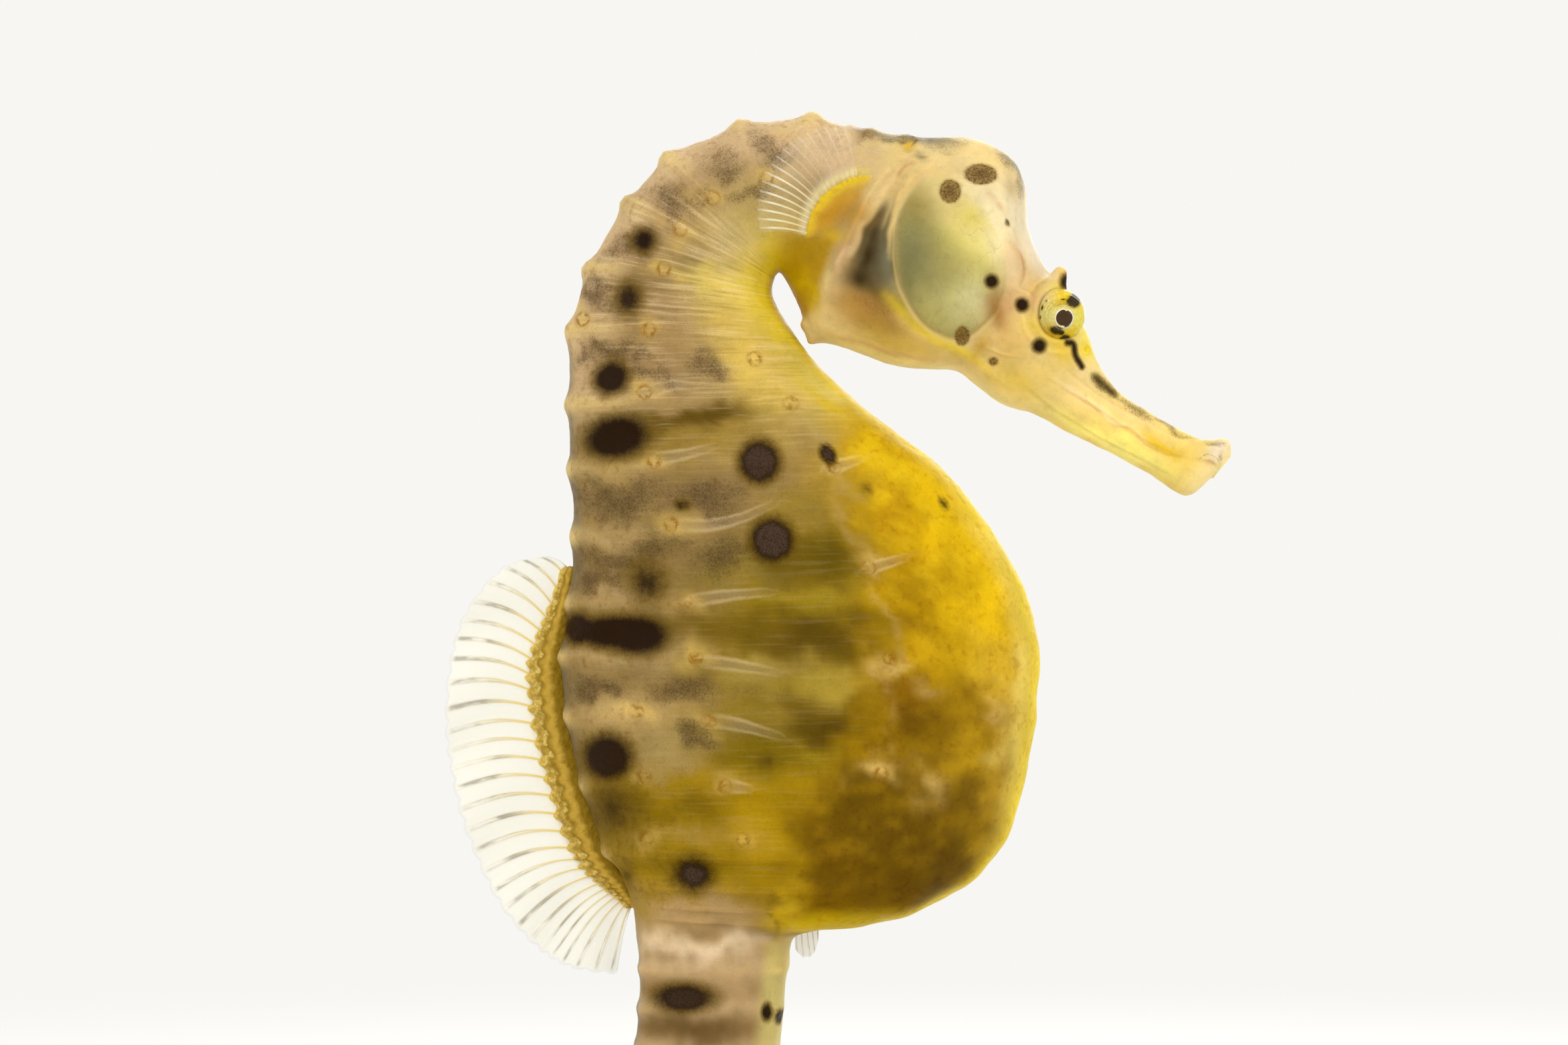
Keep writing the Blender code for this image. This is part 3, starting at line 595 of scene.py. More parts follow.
def rolled_from(flat):
    """Rows and turns round the body, closest on the flanks, of places on the flat sheet."""
    turn = math.pi * (flat[:, 1] + 1)
    return (flat[:, 0] + 1) / 2 * row_marks[-1], turn + FLANK_CROWDING / 2 * np.sin(2 * turn)


def refine(wanted):
    """Divides the faces whose middles, as row and turn round the body, are wanted."""
    pick_afresh("FACE")
    middles = np.zeros(len(skin.data.polygons) * 3)
    skin.data.polygons.foreach_get("center", middles)
    chosen = wanted(*rolled_from(middles.reshape(-1, 3)))
    skin.data.polygons.foreach_set("select", chosen)
    bpy.ops.object.mode_set(mode="EDIT")
    bpy.ops.mesh.subdivide(number_cuts=1)
    bpy.ops.object.mode_set(mode="OBJECT")


def on_fine_head(row, angle):
    """Whether faces lie on the sides of the cheek or the gill cover's rim."""
    x, _, z = on_body(along_at(row), angle).T
    inside = [(x > x0) & (x < x1) & (z > z0) & (z < z1) for x0, z0, x1, z1 in FINE_HEAD]
    return np.any(inside, axis=0) & (np.abs(np.cos(angle) - 0.25) < 0.75) & (row < row_marks[3])


skin = sheet(int(row_marks[-1]), COLUMNS)
refine(lambda row, angle: (row > tail_rows - REFINED_TAIL_ROWS) & (row < row_marks[3] + LIP_ROWS))
refine(on_fine_head)
row, angle = rolled_from(vertex_places(skin.data))
u = along_at(row)

# Both ends are closed: the tail by a round tip, the mouth by lips that turn
# in to a shallow throat.
tip = np.clip(row / TIP_ROWS, 0.0, 1.0)
scale = np.sqrt(np.maximum(1 - (1 - tip) ** 2, 0.0))
shift = -0.5 * (1 - tip)
lip = np.clip((row - row_marks[3]) / LIP_ROWS, 0.0, 1.0)
scale *= 1 - 0.30 * soft(lip, 0.0, LIP_CURL) - 0.70 * soft(lip, 0.72, 1.0)
shift += 0.16 * np.sin(np.minimum(lip / LIP_CURL, 1.0) * math.pi)
shift -= MOUTH_DEPTH * soft(lip, 0.25, 1.0)
put_vertices(skin.data, on_body(u, angle, scale, shift) * MM)
keep(skin.data, "slice", u)
keep(skin.data, "turn", np.cos(angle))
keep(skin.data, "lip", lip)
sewn(SKIN_WELD)

# Relief: what stands off the smooth form, as places in X and Z on both flanks.
LATERAL_SPINES = [(-12.3, 110.7), (-12.6, 106.1), (-11.9, 101.0), (-10.6, 96.4),
                  (-9.6, 90.7), (-8.8, 86.5), (-7.8, 82.0), (-6.7, 77.2), (-5.3, 73.2)]
UPPER_SPINES = [(-10.0, 118.2), (-7.6, 120.5), (-3.6, 121.9), (-11.2, 115.2), (-17.3, 111.6),
                (-13.2, 82.6), (-12.6, 77.8), (-12.5, 73.2)]
LOWER_SPINES = [(-4.5, 108.6), (-1.8, 105.3), (1.3, 100.6), (3.9, 93.2), (5.4, 86.6),
                (4.8, 78.1)]
SPINE_RADIUS = 0.62
SPINE_HEIGHT = 0.42
SPINE_PIT = 0.22
RIBS = [
    [(-12.0, 106.2), (-10.4, 106.6), (-8.8, 106.5)], [(-11.4, 101.2), (-9.6, 101.5), (-7.4, 102.1)],
    [(-9.9, 96.3), (-7.6, 96.3), (-5.2, 96.9), (-2.8, 98.0)], [(-8.8, 90.8), (-6.0, 91.2), (-3.0, 91.4)],
    [(-8.0, 86.3), (-5.4, 86.0), (-2.6, 85.5)], [(-7.2, 82.0), (-4.8, 81.5), (-2.4, 80.8)],
    [(-6.3, 77.2), (-4.7, 77.0)], [(3.9, 93.1), (5.2, 93.5), (6.6, 93.9)],
    [(1.0, 100.4), (2.2, 100.8), (3.4, 101.2)]]
RIDGE_HEIGHT = 0.16
RIB_HEIGHT = 0.20
WELT_HEIGHT = 0.10
FLANK_HOLLOW = 0.14
TAIL_SPINE_HEIGHT = 0.34
TAIL_RIDGE_HEIGHT = 0.12
GILL_AT = (9.9, 116.2)
GILL_RIM = [(9.0, 122.6), (7.4, 121.4), (6.35, 119.6), (6.05, 117.4), (6.1, 115.2), (6.6, 113.3),
            (7.7, 111.6), (9.2, 110.5), (10.6, 110.15), (11.8, 110.6), (13.0, 111.8),
            (13.9, 113.4), (14.1, 115.0), (13.7, 116.8), (12.8, 119.0), (11.4, 121.4),
            (10.2, 122.5)]
GILL_FOLDS = [                  # line, half width, rise
    ([(6.9, 122.4), (5.4, 120.8), (4.4, 118.8), (3.85, 116.6), (4.0, 114.9), (4.9, 113.4),
      (6.3, 111.9)], 0.36, 0.22),
    ([(8.5, 123.2), (7.0, 121.7), (5.8, 119.9), (5.3, 117.6)], 0.34, 0.26),
    ([(7.6, 123.6), (6.1, 122.2), (5.0, 120.5)], 0.30, 0.24),
    ([(6.3, 123.4), (4.9, 122.0), (3.8, 120.3), (2.9, 118.4), (2.1, 116.6), (1.4, 115.0),
      (0.8, 113.4)], 0.36, 0.42),
    ([(4.9, 121.0), (3.7, 119.0), (2.9, 117.0), (2.1, 115.2)], 0.28, 0.18),
    ([(1.2, 114.0), (2.6, 112.6), (4.6, 111.4)], 0.6, 0.14)]
GILL_GAP = [(5.3, 120.6), (4.5, 119.2), (3.9, 117.6), (3.5, 116.0), (3.4, 114.4), (3.1, 113.2)]
GILL_GAP_DEPTH = 0.60
GILL_DOME = 0.42
GILL_STEP = 0.24
GILL_PORE = (6.75, 124.35)
SHOULDER = (4.0, 117.4)
PAD_RADII = (2.7, 4.75)
PAD_FROM = 178                  # degrees round the shoulder, up from straight ahead
PAD_SPREAD = 90
PAD_HEIGHT = 0.42
PECTORAL_RAYS = 17
RAY_HEIGHT = 0.14
JAW_RIDGE = [(4.4, 113.4), (5.6, 112.0), (7.0, 110.8), (8.6, 110.0), (10.4, 109.5),
             (12.0, 108.5), (13.6, 107.2), (15.4, 105.9)]
THROAT_HEM = [(0.6, 111.2), (1.8, 110.4), (4.0, 109.4), (6.4, 108.6), (8.8, 108.4),
              (10.8, 108.2), (12.6, 107.2), (14.2, 105.9), (15.6, 105.2)]
SNOUT_RIDGE = [(16.5, 106.4), (19.0, 105.2), (22.0, 103.4), (25.0, 101.7), (27.6, 100.6)]
CHEEK_BAND = [(14.2, 114.1), (13.8, 112.7), (13.0, 111.3), (12.2, 110.2)]
CHEEK_FOLDS = [
    [(14.3, 117.6), (15.0, 116.4), (15.25, 115.2), (14.95, 114.0)],
    [(14.8, 113.8), (15.4, 113.6), (16.0, 113.1)],
    [(13.2, 119.9), (14.2, 118.6), (14.8, 117.4), (15.6, 116.0)],
    [(16.0, 114.1), (16.6, 114.35), (17.2, 114.75)],
    [(12.6, 109.6), (14.2, 109.0), (16.2, 108.9)]]
SEAMS = [
    [(17.6, 106.9), (20.0, 105.6), (22.0, 104.2), (24.0, 102.9), (26.0, 101.8), (27.8, 101.2)],
    [(18.2, 108.2), (20.6, 106.4), (22.6, 105.2), (25.0, 103.9), (27.2, 102.7)],
    [(15.8, 106.4), (17.2, 105.2), (18.6, 104.4)],
    [(16.4, 105.3), (18.6, 104.3), (20.6, 103.1), (22.6, 102.0), (24.6, 101.0), (26.6, 99.9)],
    [(28.5, 102.3), (29.4, 102.4), (30.3, 102.3)],
    [(28.2, 101.2), (28.9, 101.1), (29.6, 100.9), (30.2, 100.5)]]
CROWN_RIDGE = [(8.6, 124.6), (11.4, 124.6), (13.2, 123.9), (14.7, 122.6), (15.0, 120.6)]
NOSTRIL = (20.15, 109.4)
EYE_MIDDLE = (18.2, 111.95)
ORBIT_HEIGHT = 0.34
CROWN_HEIGHT = 0.26


def in_ellipse(x, z, centre, radii, lean):
    """Places along and across a leaning ellipse, in its half sizes."""
    dx, dz = x - centre[0], z - centre[1]
    return ((dx * math.cos(lean) + dz * math.sin(lean)) / radii[0],
            (-dx * math.sin(lean) + dz * math.cos(lean)) / radii[1])


def blob(x, z, centre, radii, lean=0.0):
    """1 at the middle of a leaning ellipse, falling smoothly to 0 past its rim."""
    a, b = in_ellipse(x, z, centre, radii, lean)
    return np.exp(-(a * a + b * b))


def between(p0, p1, p2, p3, t):
    """A share t of the way from p1 to p2 on the smooth line through four places."""
    return (p1 + (p2 - p0) * t / 2
            + (2 * p0 - 5 * p1 + 4 * p2 - p3) * t ** 2 / 2
            + (3 * p1 - p0 - 3 * p2 + p3) * t ** 3 / 2)


def line_gap(x, z, points):
    """Distance off a smooth line, more than 0 on its left, and the share along it."""
    points = np.array(points, float)
    ends = np.vstack([2 * points[0] - points[1], points, 2 * points[-1] - points[-2]])
    fine = []
    for i in range(len(points) - 1):
        for t in np.arange(8) / 8:
            fine.append(between(*ends[i:i + 4], t))
    fine.append(points[-1])
    best, share = np.full(x.shape, 1e9), np.zeros(x.shape)
    for i, (start, end) in enumerate(zip(fine, fine[1:])):
        run = end - start
        t = ((x - start[0]) * run[0] + (z - start[1]) * run[1]) / (run @ run)
        t = np.clip(t, 0.0, 1.0)
        gap = np.hypot(x - start[0] - t * run[0], z - start[1] - t * run[1])
        gap *= np.where(run[0] * (z - start[1]) > run[1] * (x - start[0]), 1.0, -1.0)
        nearer = np.abs(gap) < np.abs(best)
        best = np.where(nearer, gap, best)
        share = np.where(nearer, (i + t) / (len(fine) - 1), share)
    return best, share


def share_to_rim(x, z, middle, rim):
    """Distance from the middle as a share of the way to a smooth closed rim."""
    rim = np.array(rim) - middle
    turns = np.arange(360) * math.pi / 180
    reach = np.interp(turns, np.arctan2(rim[:, 1], rim[:, 0]), np.hypot(*rim.T),
                      period=2 * math.pi)
    reach = sum(np.roll(reach, k) for k in range(-12, 13)) / 25
    dx, dz = x - middle[0], z - middle[1]
    return np.hypot(dx, dz) / np.interp(np.arctan2(dz, dx), turns, reach, period=2 * math.pi)


def shoulder_pad(x, z):
    """1 on the crescent that bears the pectoral fin, and how far out and round it is."""
    dx, dz = x - SHOULDER[0], z - SHOULDER[1]
    from_shoulder = np.hypot(dx, dz)
    pad_turn = np.clip((math.radians(PAD_FROM) - np.arctan2(dz, dx) % (2 * math.pi))
                       / math.radians(PAD_SPREAD), 0.0, 1.0)
    inner = PAD_RADII[0] + (PAD_RADII[1] - PAD_RADII[0]) * np.abs(2 * pad_turn - 1) ** 3 * 0.75
    band = soft(from_shoulder, inner - 0.5, inner + 0.5) * soft(from_shoulder, 4.95, 4.60)
    return band * np.sin(math.pi * pad_turn) ** 0.3, from_shoulder, pad_turn


def stroke(x, z, points, width):
    """1 along a smooth line, falling to 0 across its width and at its ends."""
    gap, share = line_gap(x, z, points)
    return hump(gap, 0.0, width) * np.sin(math.pi * np.clip(share, 0.03, 0.97)) ** 0.5


places = vertex_places(skin.data) / MM
x, y, z = places.T
u = kept(skin.data, "slice")
body = u - TAIL_COUNT
turn = kept(skin.data, "turn")
depth = frame_of(u)[1]
flank = soft(1 - np.abs(turn), 0.0, 0.5)
on_trunk = soft(body, 2.5, 5.0) * (1 - soft(body, 20.5, 22.0))
on_tail = 1 - soft(body, 1.0, 3.0)
on_head = soft(body, 20.5, 22.5)
gilled = soft(body, 18.2, 19.6)
ringed = (1 - off_ring(u, 0.13)) * (1 - soft(body, 1.2, 2.0) * (1 - soft(body, 6.0, 6.8)))
height = np.zeros(len(x))

# Rings: a bump on the back at each, a low welt down each flank, and the
# flank drawn in a little between them.
on_back = soft(turn, 0.80, 0.99)
height += (0.10 + 0.26 * soft(body, 13.0, 16.0)) * ringed * on_back * on_trunk
height += WELT_HEIGHT * (1 - off_ring(u, 0.10)) * flank * on_trunk * soft(turn, -0.6, 0.2)
height -= FLANK_HOLLOW * off_ring(u, 0.30) * flank * on_trunk * soft(turn, -0.2, 0.5)

# Tail: four ridges of small spines, one on each corner of each ring.
corner = hump(np.abs(turn), 0.80, 0.13)
height += TAIL_SPINE_HEIGHT * corner * ringed * on_tail * depth / TAIL_DEPTH
height += TAIL_RIDGE_HEIGHT * corner * on_tail * depth / TAIL_DEPTH

# Spines of the trunk's ridges, the ridges that join them, and the pale ribs
# that run forward from the lateral ones.
for spines, size in ((LATERAL_SPINES, 1.0), (UPPER_SPINES, 0.8), (LOWER_SPINES, 0.9)):
    for spine in spines:
        height += size * SPINE_HEIGHT * blob(x, z, spine, (SPINE_RADIUS, SPINE_RADIUS * 0.85))
        height -= size * SPINE_PIT * blob(x, z, spine, (0.24, 0.24))
for line, width in ((LATERAL_SPINES, 0.9), (LOWER_SPINES, 0.8)):
    height += RIDGE_HEIGHT * stroke(x, z, line, width) * flank
rib_gap = np.full(len(x), 2.0)
rib_share = np.zeros(len(x))
for rib in RIBS:
    gap, share = line_gap(x, z, rib)
    nearer = np.abs(gap) < np.abs(rib_gap)
    rib_gap = np.where(nearer, gap, rib_gap)
    rib_share = np.where(nearer, share, rib_share)
ribbed = soft(np.abs(rib_gap), 1.5, 0.9) * np.sin(math.pi * np.clip(rib_share, 0.04, 0.96)) ** 0.6
height += RIB_HEIGHT * ribbed * hump(rib_gap, 0.0, 0.50)

# Belly: full and soft, with slow dimples.
height += 0.10 * np.sin(x * 0.9 + z * 0.5) * np.sin(z * 0.8 - x * 0.3) * soft(x, 2.0, 7.0) * on_trunk

# Gill cover: a thin domed plate, proud behind and below where its rim is
# free, then a soft flap, a dark gap and the pale cord of the shoulder.
gill_r = share_to_rim(x, z, GILL_AT, GILL_RIM)
rearward = np.arctan2(z - GILL_AT[1], x - GILL_AT[0]) - math.radians(222)
free_rim = soft(np.cos(rearward), -0.35, 0.55)
height += GILL_DOME * np.clip(1 - gill_r ** 2, 0.0, 1.0) ** 1.5 * on_head
height += GILL_STEP * soft(gill_r, 1.12, 0.93) * free_rim * on_head
height -= 0.12 * hump(gill_r, 1.16, 0.10) * free_rim * on_head
for line, width, rise in GILL_FOLDS:
    height += rise * stroke(x, z, line, width) * gilled
height -= GILL_GAP_DEPTH * stroke(x, z, GILL_GAP, 0.60) * gilled
pore = np.hypot(x - GILL_PORE[0], z - GILL_PORE[1])
height += (0.34 * hump(pore, 0.80, 0.28) - 0.35 * hump(pore, 0.0, 0.42)) * on_head

# Shoulder: the raised pad that the pectoral fin's rays spring from.
pad, from_shoulder, pad_turn = shoulder_pad(x, z)
height += PAD_HEIGHT * pad
height += RAY_HEIGHT * pad * soft(from_shoulder, 4.0, 4.6) * np.cos(pad_turn * 2 * math.pi * PECTORAL_RAYS)

# Jaw, cheek and snout: the ridge of the jaw, the hem under the throat, the
# folds of the cheek, and the seams between the snout's long thin bones.
height += 0.30 * stroke(x, z, JAW_RIDGE, 0.40) * gilled
height += 0.16 * stroke(x, z, THROAT_HEM, 0.26) * gilled
height += 0.15 * stroke(x, z, SNOUT_RIDGE, 0.55) * on_head
height -= 0.20 * stroke(x, z, CHEEK_BAND, 0.50) * on_head
for fold in CHEEK_FOLDS:
    height += 0.17 * stroke(x, z, fold, 0.17) * on_head
    height -= 0.12 * stroke(x, z, [(px + 0.30, pz) for px, pz in fold], 0.13) * on_head
for seam in SEAMS:
    height -= 0.10 * stroke(x, z, seam, 0.13) * on_head
    height += 0.06 * stroke(x, z, [(px + 0.14, pz + 0.22) for px, pz in seam], 0.14) * on_head

# Orbit: folds of skin round a socket that the eyeball sits in.
from_eye = np.hypot(x - EYE_MIDDLE[0], z - EYE_MIDDLE[1])
outward = soft(np.abs(y), 1.0, 2.0) * soft(x, 20.0, 19.0)
height += ORBIT_HEIGHT * hump(from_eye, 2.05, 0.34) * outward
height += 0.16 * hump(from_eye, 2.85, 0.22) * outward * soft(x, 19.5, 17.5)
height -= 0.20 * soft(from_eye, 1.60, 1.00) * outward
nose = np.hypot(x - NOSTRIL[0], z - NOSTRIL[1])
height += 0.12 * hump(nose, 0.28, 0.11) - 0.16 * hump(nose, 0.0, 0.14)

# Coronet: a low rounded crown with a ridge down to the brow.
height += CROWN_HEIGHT * stroke(x, z, CROWN_RIDGE, 0.7) * on_head
height += 0.20 * blob(x, z, (13.6, 122.6), (1.5, 1.7), math.radians(-35)) * on_head
height -= 0.20 * stroke(x, z, [(8.6, 124.4), (10.4, 123.9), (12.2, 124.0)], 0.5) * on_head
height -= 0.16 * stroke(x, z, [(14.1, 121.6), (14.9, 119.6), (15.3, 117.6)], 0.5) * on_head

places += vertex_normals(skin.data) * height[:, None]


def pull(centre, radius, move, blunt=2):
    """Draws the skin out near a place on both sides of the head."""
    for side in (-1.0, 1.0):
        mirror = np.array([1.0, side, 1.0])
        away = np.linalg.norm(places - mirror * centre, axis=1)
        places[:] += np.exp(-(away / radius) ** blunt)[:, None] * (mirror * move)


pull((18.35, 1.25, 114.1), 0.95, (0.25, 0.40, 1.25), 4)  # brow knob
pull((18.95, 1.60, 115.3), 0.55, (0.25, 0.25, 0.15))
pull((-0.40, 1.2, 111.3), 0.55, (-0.55, 0.25, 0.10))     # shoulder spine
pull((0.00, 1.2, 110.5), 0.55, (-0.45, 0.25, -0.50))     # breast spine
pull((30.6, 0.4, 102.1), 0.90, (0.30, 0.15, 0.22))       # upper lip
pull((27.9, 0.6, 99.0), 1.00, (-0.10, 0.10, -0.25))      # chin
put_vertices(skin.data, places * MM)


def lumpy(piece, size, rise):
    """Slow unevenness with features of a size, so that no flank is smooth as a cast."""
    lumps = bpy.data.textures.new("lumps", "CLOUDS")
    lumps.noise_scale = size * MM
    lumps.noise_depth = 3
    uneven = piece.modifiers.new("uneven", "DISPLACE")
    uneven.texture = lumps
    uneven.texture_coords = "LOCAL"
    uneven.mid_level = 0.5
    uneven.strength = rise * MM
    bpy.ops.object.modifier_apply(modifier="uneven")


lumpy(skin, size=2.6, rise=0.26)

# Colours, as washes laid on in order from the ground colours to the marks,
# as seen in the light of this setting: the paint itself is a little darker.
SEEN_AS_PAINTED = 1.2


def wander(size, seed):
    """A slow wavering through the flesh, about -1 to 1, with features of a size."""
    total = np.zeros(len(x))
    for k in range(7):
        lean = seed + 2.4 * k
        way = x * math.cos(lean) + z * math.sin(lean) + 0.4 * y * math.cos(1.9 * k)
        total += np.sin(way * 2 * math.pi / (size * (0.7 + 0.15 * k)) + 3.7 * k * seed)
    return total / 2.6


def paint(red, green, blue):
    """A paint's colour, 0 to 255, as light values."""
    values = np.array([red, green, blue]) / 255.0
    light = np.where(values <= 0.04045, values / 12.92, ((values + 0.055) / 1.055) ** 2.4)
    return (*light.tolist(), 1.0)


def coat(colour):
    """One colour over all the vertices in hand."""
    return np.tile(np.array(paint(*colour)[:3]), (len(x), 1))


def keep_tint(mesh, seen_as_painted):
    """Stores the washes as the paint that they need in this light."""
    keep(mesh, "tint", np.hstack([tint / seen_as_painted, np.ones((len(x), 1))]), "FLOAT_COLOR")


x, y, z = (vertex_places(skin.data) / MM).T
loose = 1 - 0.85 * on_head
wx = x + loose * (0.55 * wander(4.2, 1.3) + 0.26 * wander(1.7, 2.1))
wz = z + loose * (0.45 * wander(4.8, 0.7) + 0.26 * wander(1.9, 3.3))
tint = coat((158, 130, 74))
pepper = np.zeros(len(x))


def wash(colour, share):
    """Lays a colour over the skin by a share at each vertex."""
    tint[:] += (np.array(paint(*colour)[:3]) - tint) * np.clip(share, 0.0, 1.0)[:, None]


def dab(colour, strength, centre, radii, lean=0.0, where=1.0, firm=1.0):
    """A wavering ellipse of colour; the firmer it is, the flatter inside its edge."""
    near = -np.log(np.maximum(blob(wx, wz, centre, radii, math.radians(lean)), 1e-30))
    wash(colour, strength * where * np.exp(-near ** firm))


def line_wash(colour, strength, points, width):
    """A wavering line of colour, fading at its ends."""
    wash(colour, strength * stroke(wx, wz, points, width))


def peppered(strength, centre, radii, lean=0.0):
    """Sows dark pigment cells thickly over an ellipse of the skin."""
    pepper[:] = np.maximum(pepper, strength * blob(wx, wz, centre, radii, math.radians(lean)))


# Neck and upper back: greyish pink flesh, paler toward the back edge, with a painted highlight on each
# ring's bump.
neck = soft(body, 12.5, 15.5) * (1 - on_head)
wash((178, 148, 104), neck)
dab((148, 120, 68), 0.9, (-13.2, 114.2), (3.4, 2.8), 40, neck)
dab((178, 146, 90), 0.8, (-10.0, 109.8), (6.0, 2.4))
wash((220, 188, 138), 0.85 * neck * soft(turn, 0.30, 0.86))
# Painted highlight on the rings' bumps toward the back.
wash((232, 204, 134), 0.80 * ringed * soft(turn, 0.2, 0.95) * soft(body, 10.0, 15.0) * (1 - on_head))
for centre, radii in (
        ((-10.6, 120.4), (2.4, 1.2)), ((-7.0, 123.0), (1.9, 1.3)),
        ((-3.0, 123.8), (1.1, 1.7)), ((-4.6, 120.6), (2.2, 0.9)),
        ((-13.8, 116.8), (1.9, 1.1)), ((-17.0, 108.6), (0.9, 0.7)),
        ((-13.2, 108.6), (0.8, 0.8)), ((-16.5, 113.5), (1.0, 1.2)),
        ((-12.4, 107.2), (1.6, 0.7)), ((-8.2, 108.4), (1.4, 0.8))):
    dab((150, 120, 82), 0.50, centre, radii)
    peppered(0.70, centre, radii)
dab((222, 190, 146), 0.8, (0.8, 124.0), (3.2, 2.2))
dab((214, 182, 140), 0.7, (-4.6, 124.6), (3.4, 1.5))
dab((228, 198, 132), 0.8, (-0.8, 126.2), (2.4, 1.0))

# Throat: thin bright yellow flesh, painted brighter toward its front edge as a glow of light coming
# through it.
from_front = depth * (1 + turn * np.where(turn < 0, 1.0, 0.6)) / 2
throat = soft(body, 12.0, 14.5) * (1 - soft(body, 21.0, 23.0))
wash((222, 198, 104), 0.80 * throat * soft(from_front, 8.5, 2.5))
wash((228, 198, 14), 0.95 * throat * soft(from_front, 4.2, 0.8))
dab((210, 186, 132), 0.60, (-6.4, 116.8), (2.2, 1.6), 0, throat)
line_wash((244, 220, 116), 0.65, [(-10.5, 115.4), (-7.4, 114.2), (-4.6, 113.4)], 1.1)
line_wash((226, 200, 96), 0.85, [(-2.6, 110.8), (-0.6, 107.6), (2.6, 104.8), (6.4, 102.4)], 1.9)
line_wash((204, 176, 22), 0.75, [(-2.6, 109.6), (0.4, 106.0), (3.2, 103.6)], 0.9)
line_wash((232, 212, 120), 0.75, [(-1.6, 108.6), (1.6, 105.9), (5.2, 103.4), (8.6, 101.6)], 0.7)

# Trunk: tan flanks, greyer bands between the rings, olive toward the belly.
inner = (soft(wx, np.interp(wz, [74, 80, 90, 93, 97, 100], [-13, -12.5, -12.0, -9.5, -6.5, -2.0]),
              np.interp(wz, [74, 80, 90, 93, 97, 100], [-8, -5.0, -4.0, -1.0, 2.0, 4.0]))
         * soft(wz, 100.5, 97.5) * on_trunk)
wash((148, 120, 16), inner)
dab((186, 158, 94), 0.75, (-6.0, 107.2), (3.4, 1.6), 15)
dab((172, 144, 66), 0.80, (-4.4, 104.4), (3.0, 2.2), 20)
for centre, radii, colour in (
        ((-15.0, 105.2), (3.2, 0.6), (208, 178, 116)),
        ((-15.0, 100.5), (3.0, 0.6), (186, 156, 96)),
        ((-7.0, 101.6), (3.4, 0.6), (176, 146, 84)),
        ((-15.6, 95.4), (2.8, 0.7), (200, 170, 112)),
        ((-15.0, 90.9), (2.8, 0.5), (190, 160, 104)),
        ((-14.0, 86.4), (4.4, 0.6), (196, 168, 112)),
        ((-14.0, 82.4), (3.8, 1.6), (214, 182, 116)),
        ((-14.6, 78.2), (3.0, 0.6), (190, 160, 92)),
        ((-10.8, 80.2), (2.6, 2.2), (186, 160, 94))):
    dab(colour, 0.80, centre, radii)
for centre, radii, colour in (
        ((-14.5, 98.2), (3.4, 1.7), (146, 120, 78)),
        ((-8.0, 98.4), (2.8, 1.4), (138, 110, 74)),
        ((-15.0, 93.6), (2.8, 1.0), (134, 108, 66)),
        ((-11.8, 94.6), (2.0, 1.2), (118, 94, 54)),
        ((-6.8, 94.2), (2.4, 1.9), (118, 96, 42)),
        ((-15.9, 92.0), (1.9, 0.8), (118, 92, 58)),
        ((-16.5, 84.3), (1.7, 0.8), (128, 104, 68)),
        ((-10.0, 84.2), (1.9, 1.2), (126, 100, 58)),
        ((-8.8, 80.8), (1.2, 0.8), (140, 114, 66)),
        ((-5.0, 84.2), (3.0, 0.8), (158, 134, 66)),
        ((-15.2, 109.0), (1.6, 1.2), (136, 108, 66))):
    dab(colour, 0.60, centre, radii)
    peppered(0.75 if centre[0] < -6.0 else 0.3, centre, radii)
dab((160, 130, 40), 0.80, (-9.0, 102.8), (5.4, 1.6), 6)
dab((104, 78, 4), 0.95, (-8.4, 104.1), (4.2, 0.80), lean=10, firm=1.6)
dab((192, 154, 26), 0.85, (1.6, 100.2), (2.8, 2.2))
line_wash((230, 197, 90), 0.85, [(-8.0, 114.0), (-5.8, 110.4), (-4.2, 107.2), (-1.8, 104.2)], 1.7)
line_wash((238, 202, 50), 0.70, [(0.6, 105.8), (2.2, 104.3), (4.6, 102.6)], 1.0)
dab((158, 132, 76), 0.65, (-9.2, 116.2), (1.5, 1.2))
dab((156, 128, 46), 0.85, (-0.4, 97.4), (3.6, 1.6))
for centre, radii, colour, lean in (
        ((-5.4, 92.6), (4.4, 1.0), (146, 122, 48), 3),
        ((0.3, 93.9), (4.3, 2.0), (110, 88, 2), 0),
        ((-8.0, 89.0), (3.2, 1.1), (128, 101, 12), 0),
        ((-0.8, 91.0), (3.8, 0.8), (164, 138, 26), 5),
        ((0.2, 88.0), (6.2, 2.1), (98, 75, 2), 0),
        ((-4.4, 85.9), (4.6, 0.9), (178, 152, 68), 0),
        ((1.2, 84.6), (4.2, 1.2), (190, 162, 58), 4),
        ((1.4, 81.6), (5.4, 1.9), (96, 72, 2), 0),
        ((-4.4, 81.8), (3.2, 1.2), (150, 124, 40), -12),
        ((-3.6, 79.2), (4.2, 1.8), (134, 110, 3), 0)):
    dab(colour, 0.95, centre, radii, lean, on_trunk, 1.5)
lower = soft(wz, 79.6, 76.8) * on_trunk
wash((166, 132, 4), lower * soft(wx, -17.6, -15.0))
wash((178, 148, 62), 0.5 * lower * soft(wx, -12.5, -16.0))
dab((100, 78, 4), 0.85, (-15.3, 75.4), (1.5, 1.8))
dab((72, 48, 2), 0.85, (-14.3, 70.0), (1.1, 1.5))
dab((188, 154, 72), 0.65, (-9.8, 73.7), (3.4, 0.6))
dab((134, 106, 4), 0.80, (-8.6, 75.4), (4.6, 0.9))
dab((140, 112, 6), 0.75, (-9.6, 71.4), (3.4, 0.9))
dab((188, 150, 6), 0.80, (-4.4, 74.6), (2.2, 1.8))
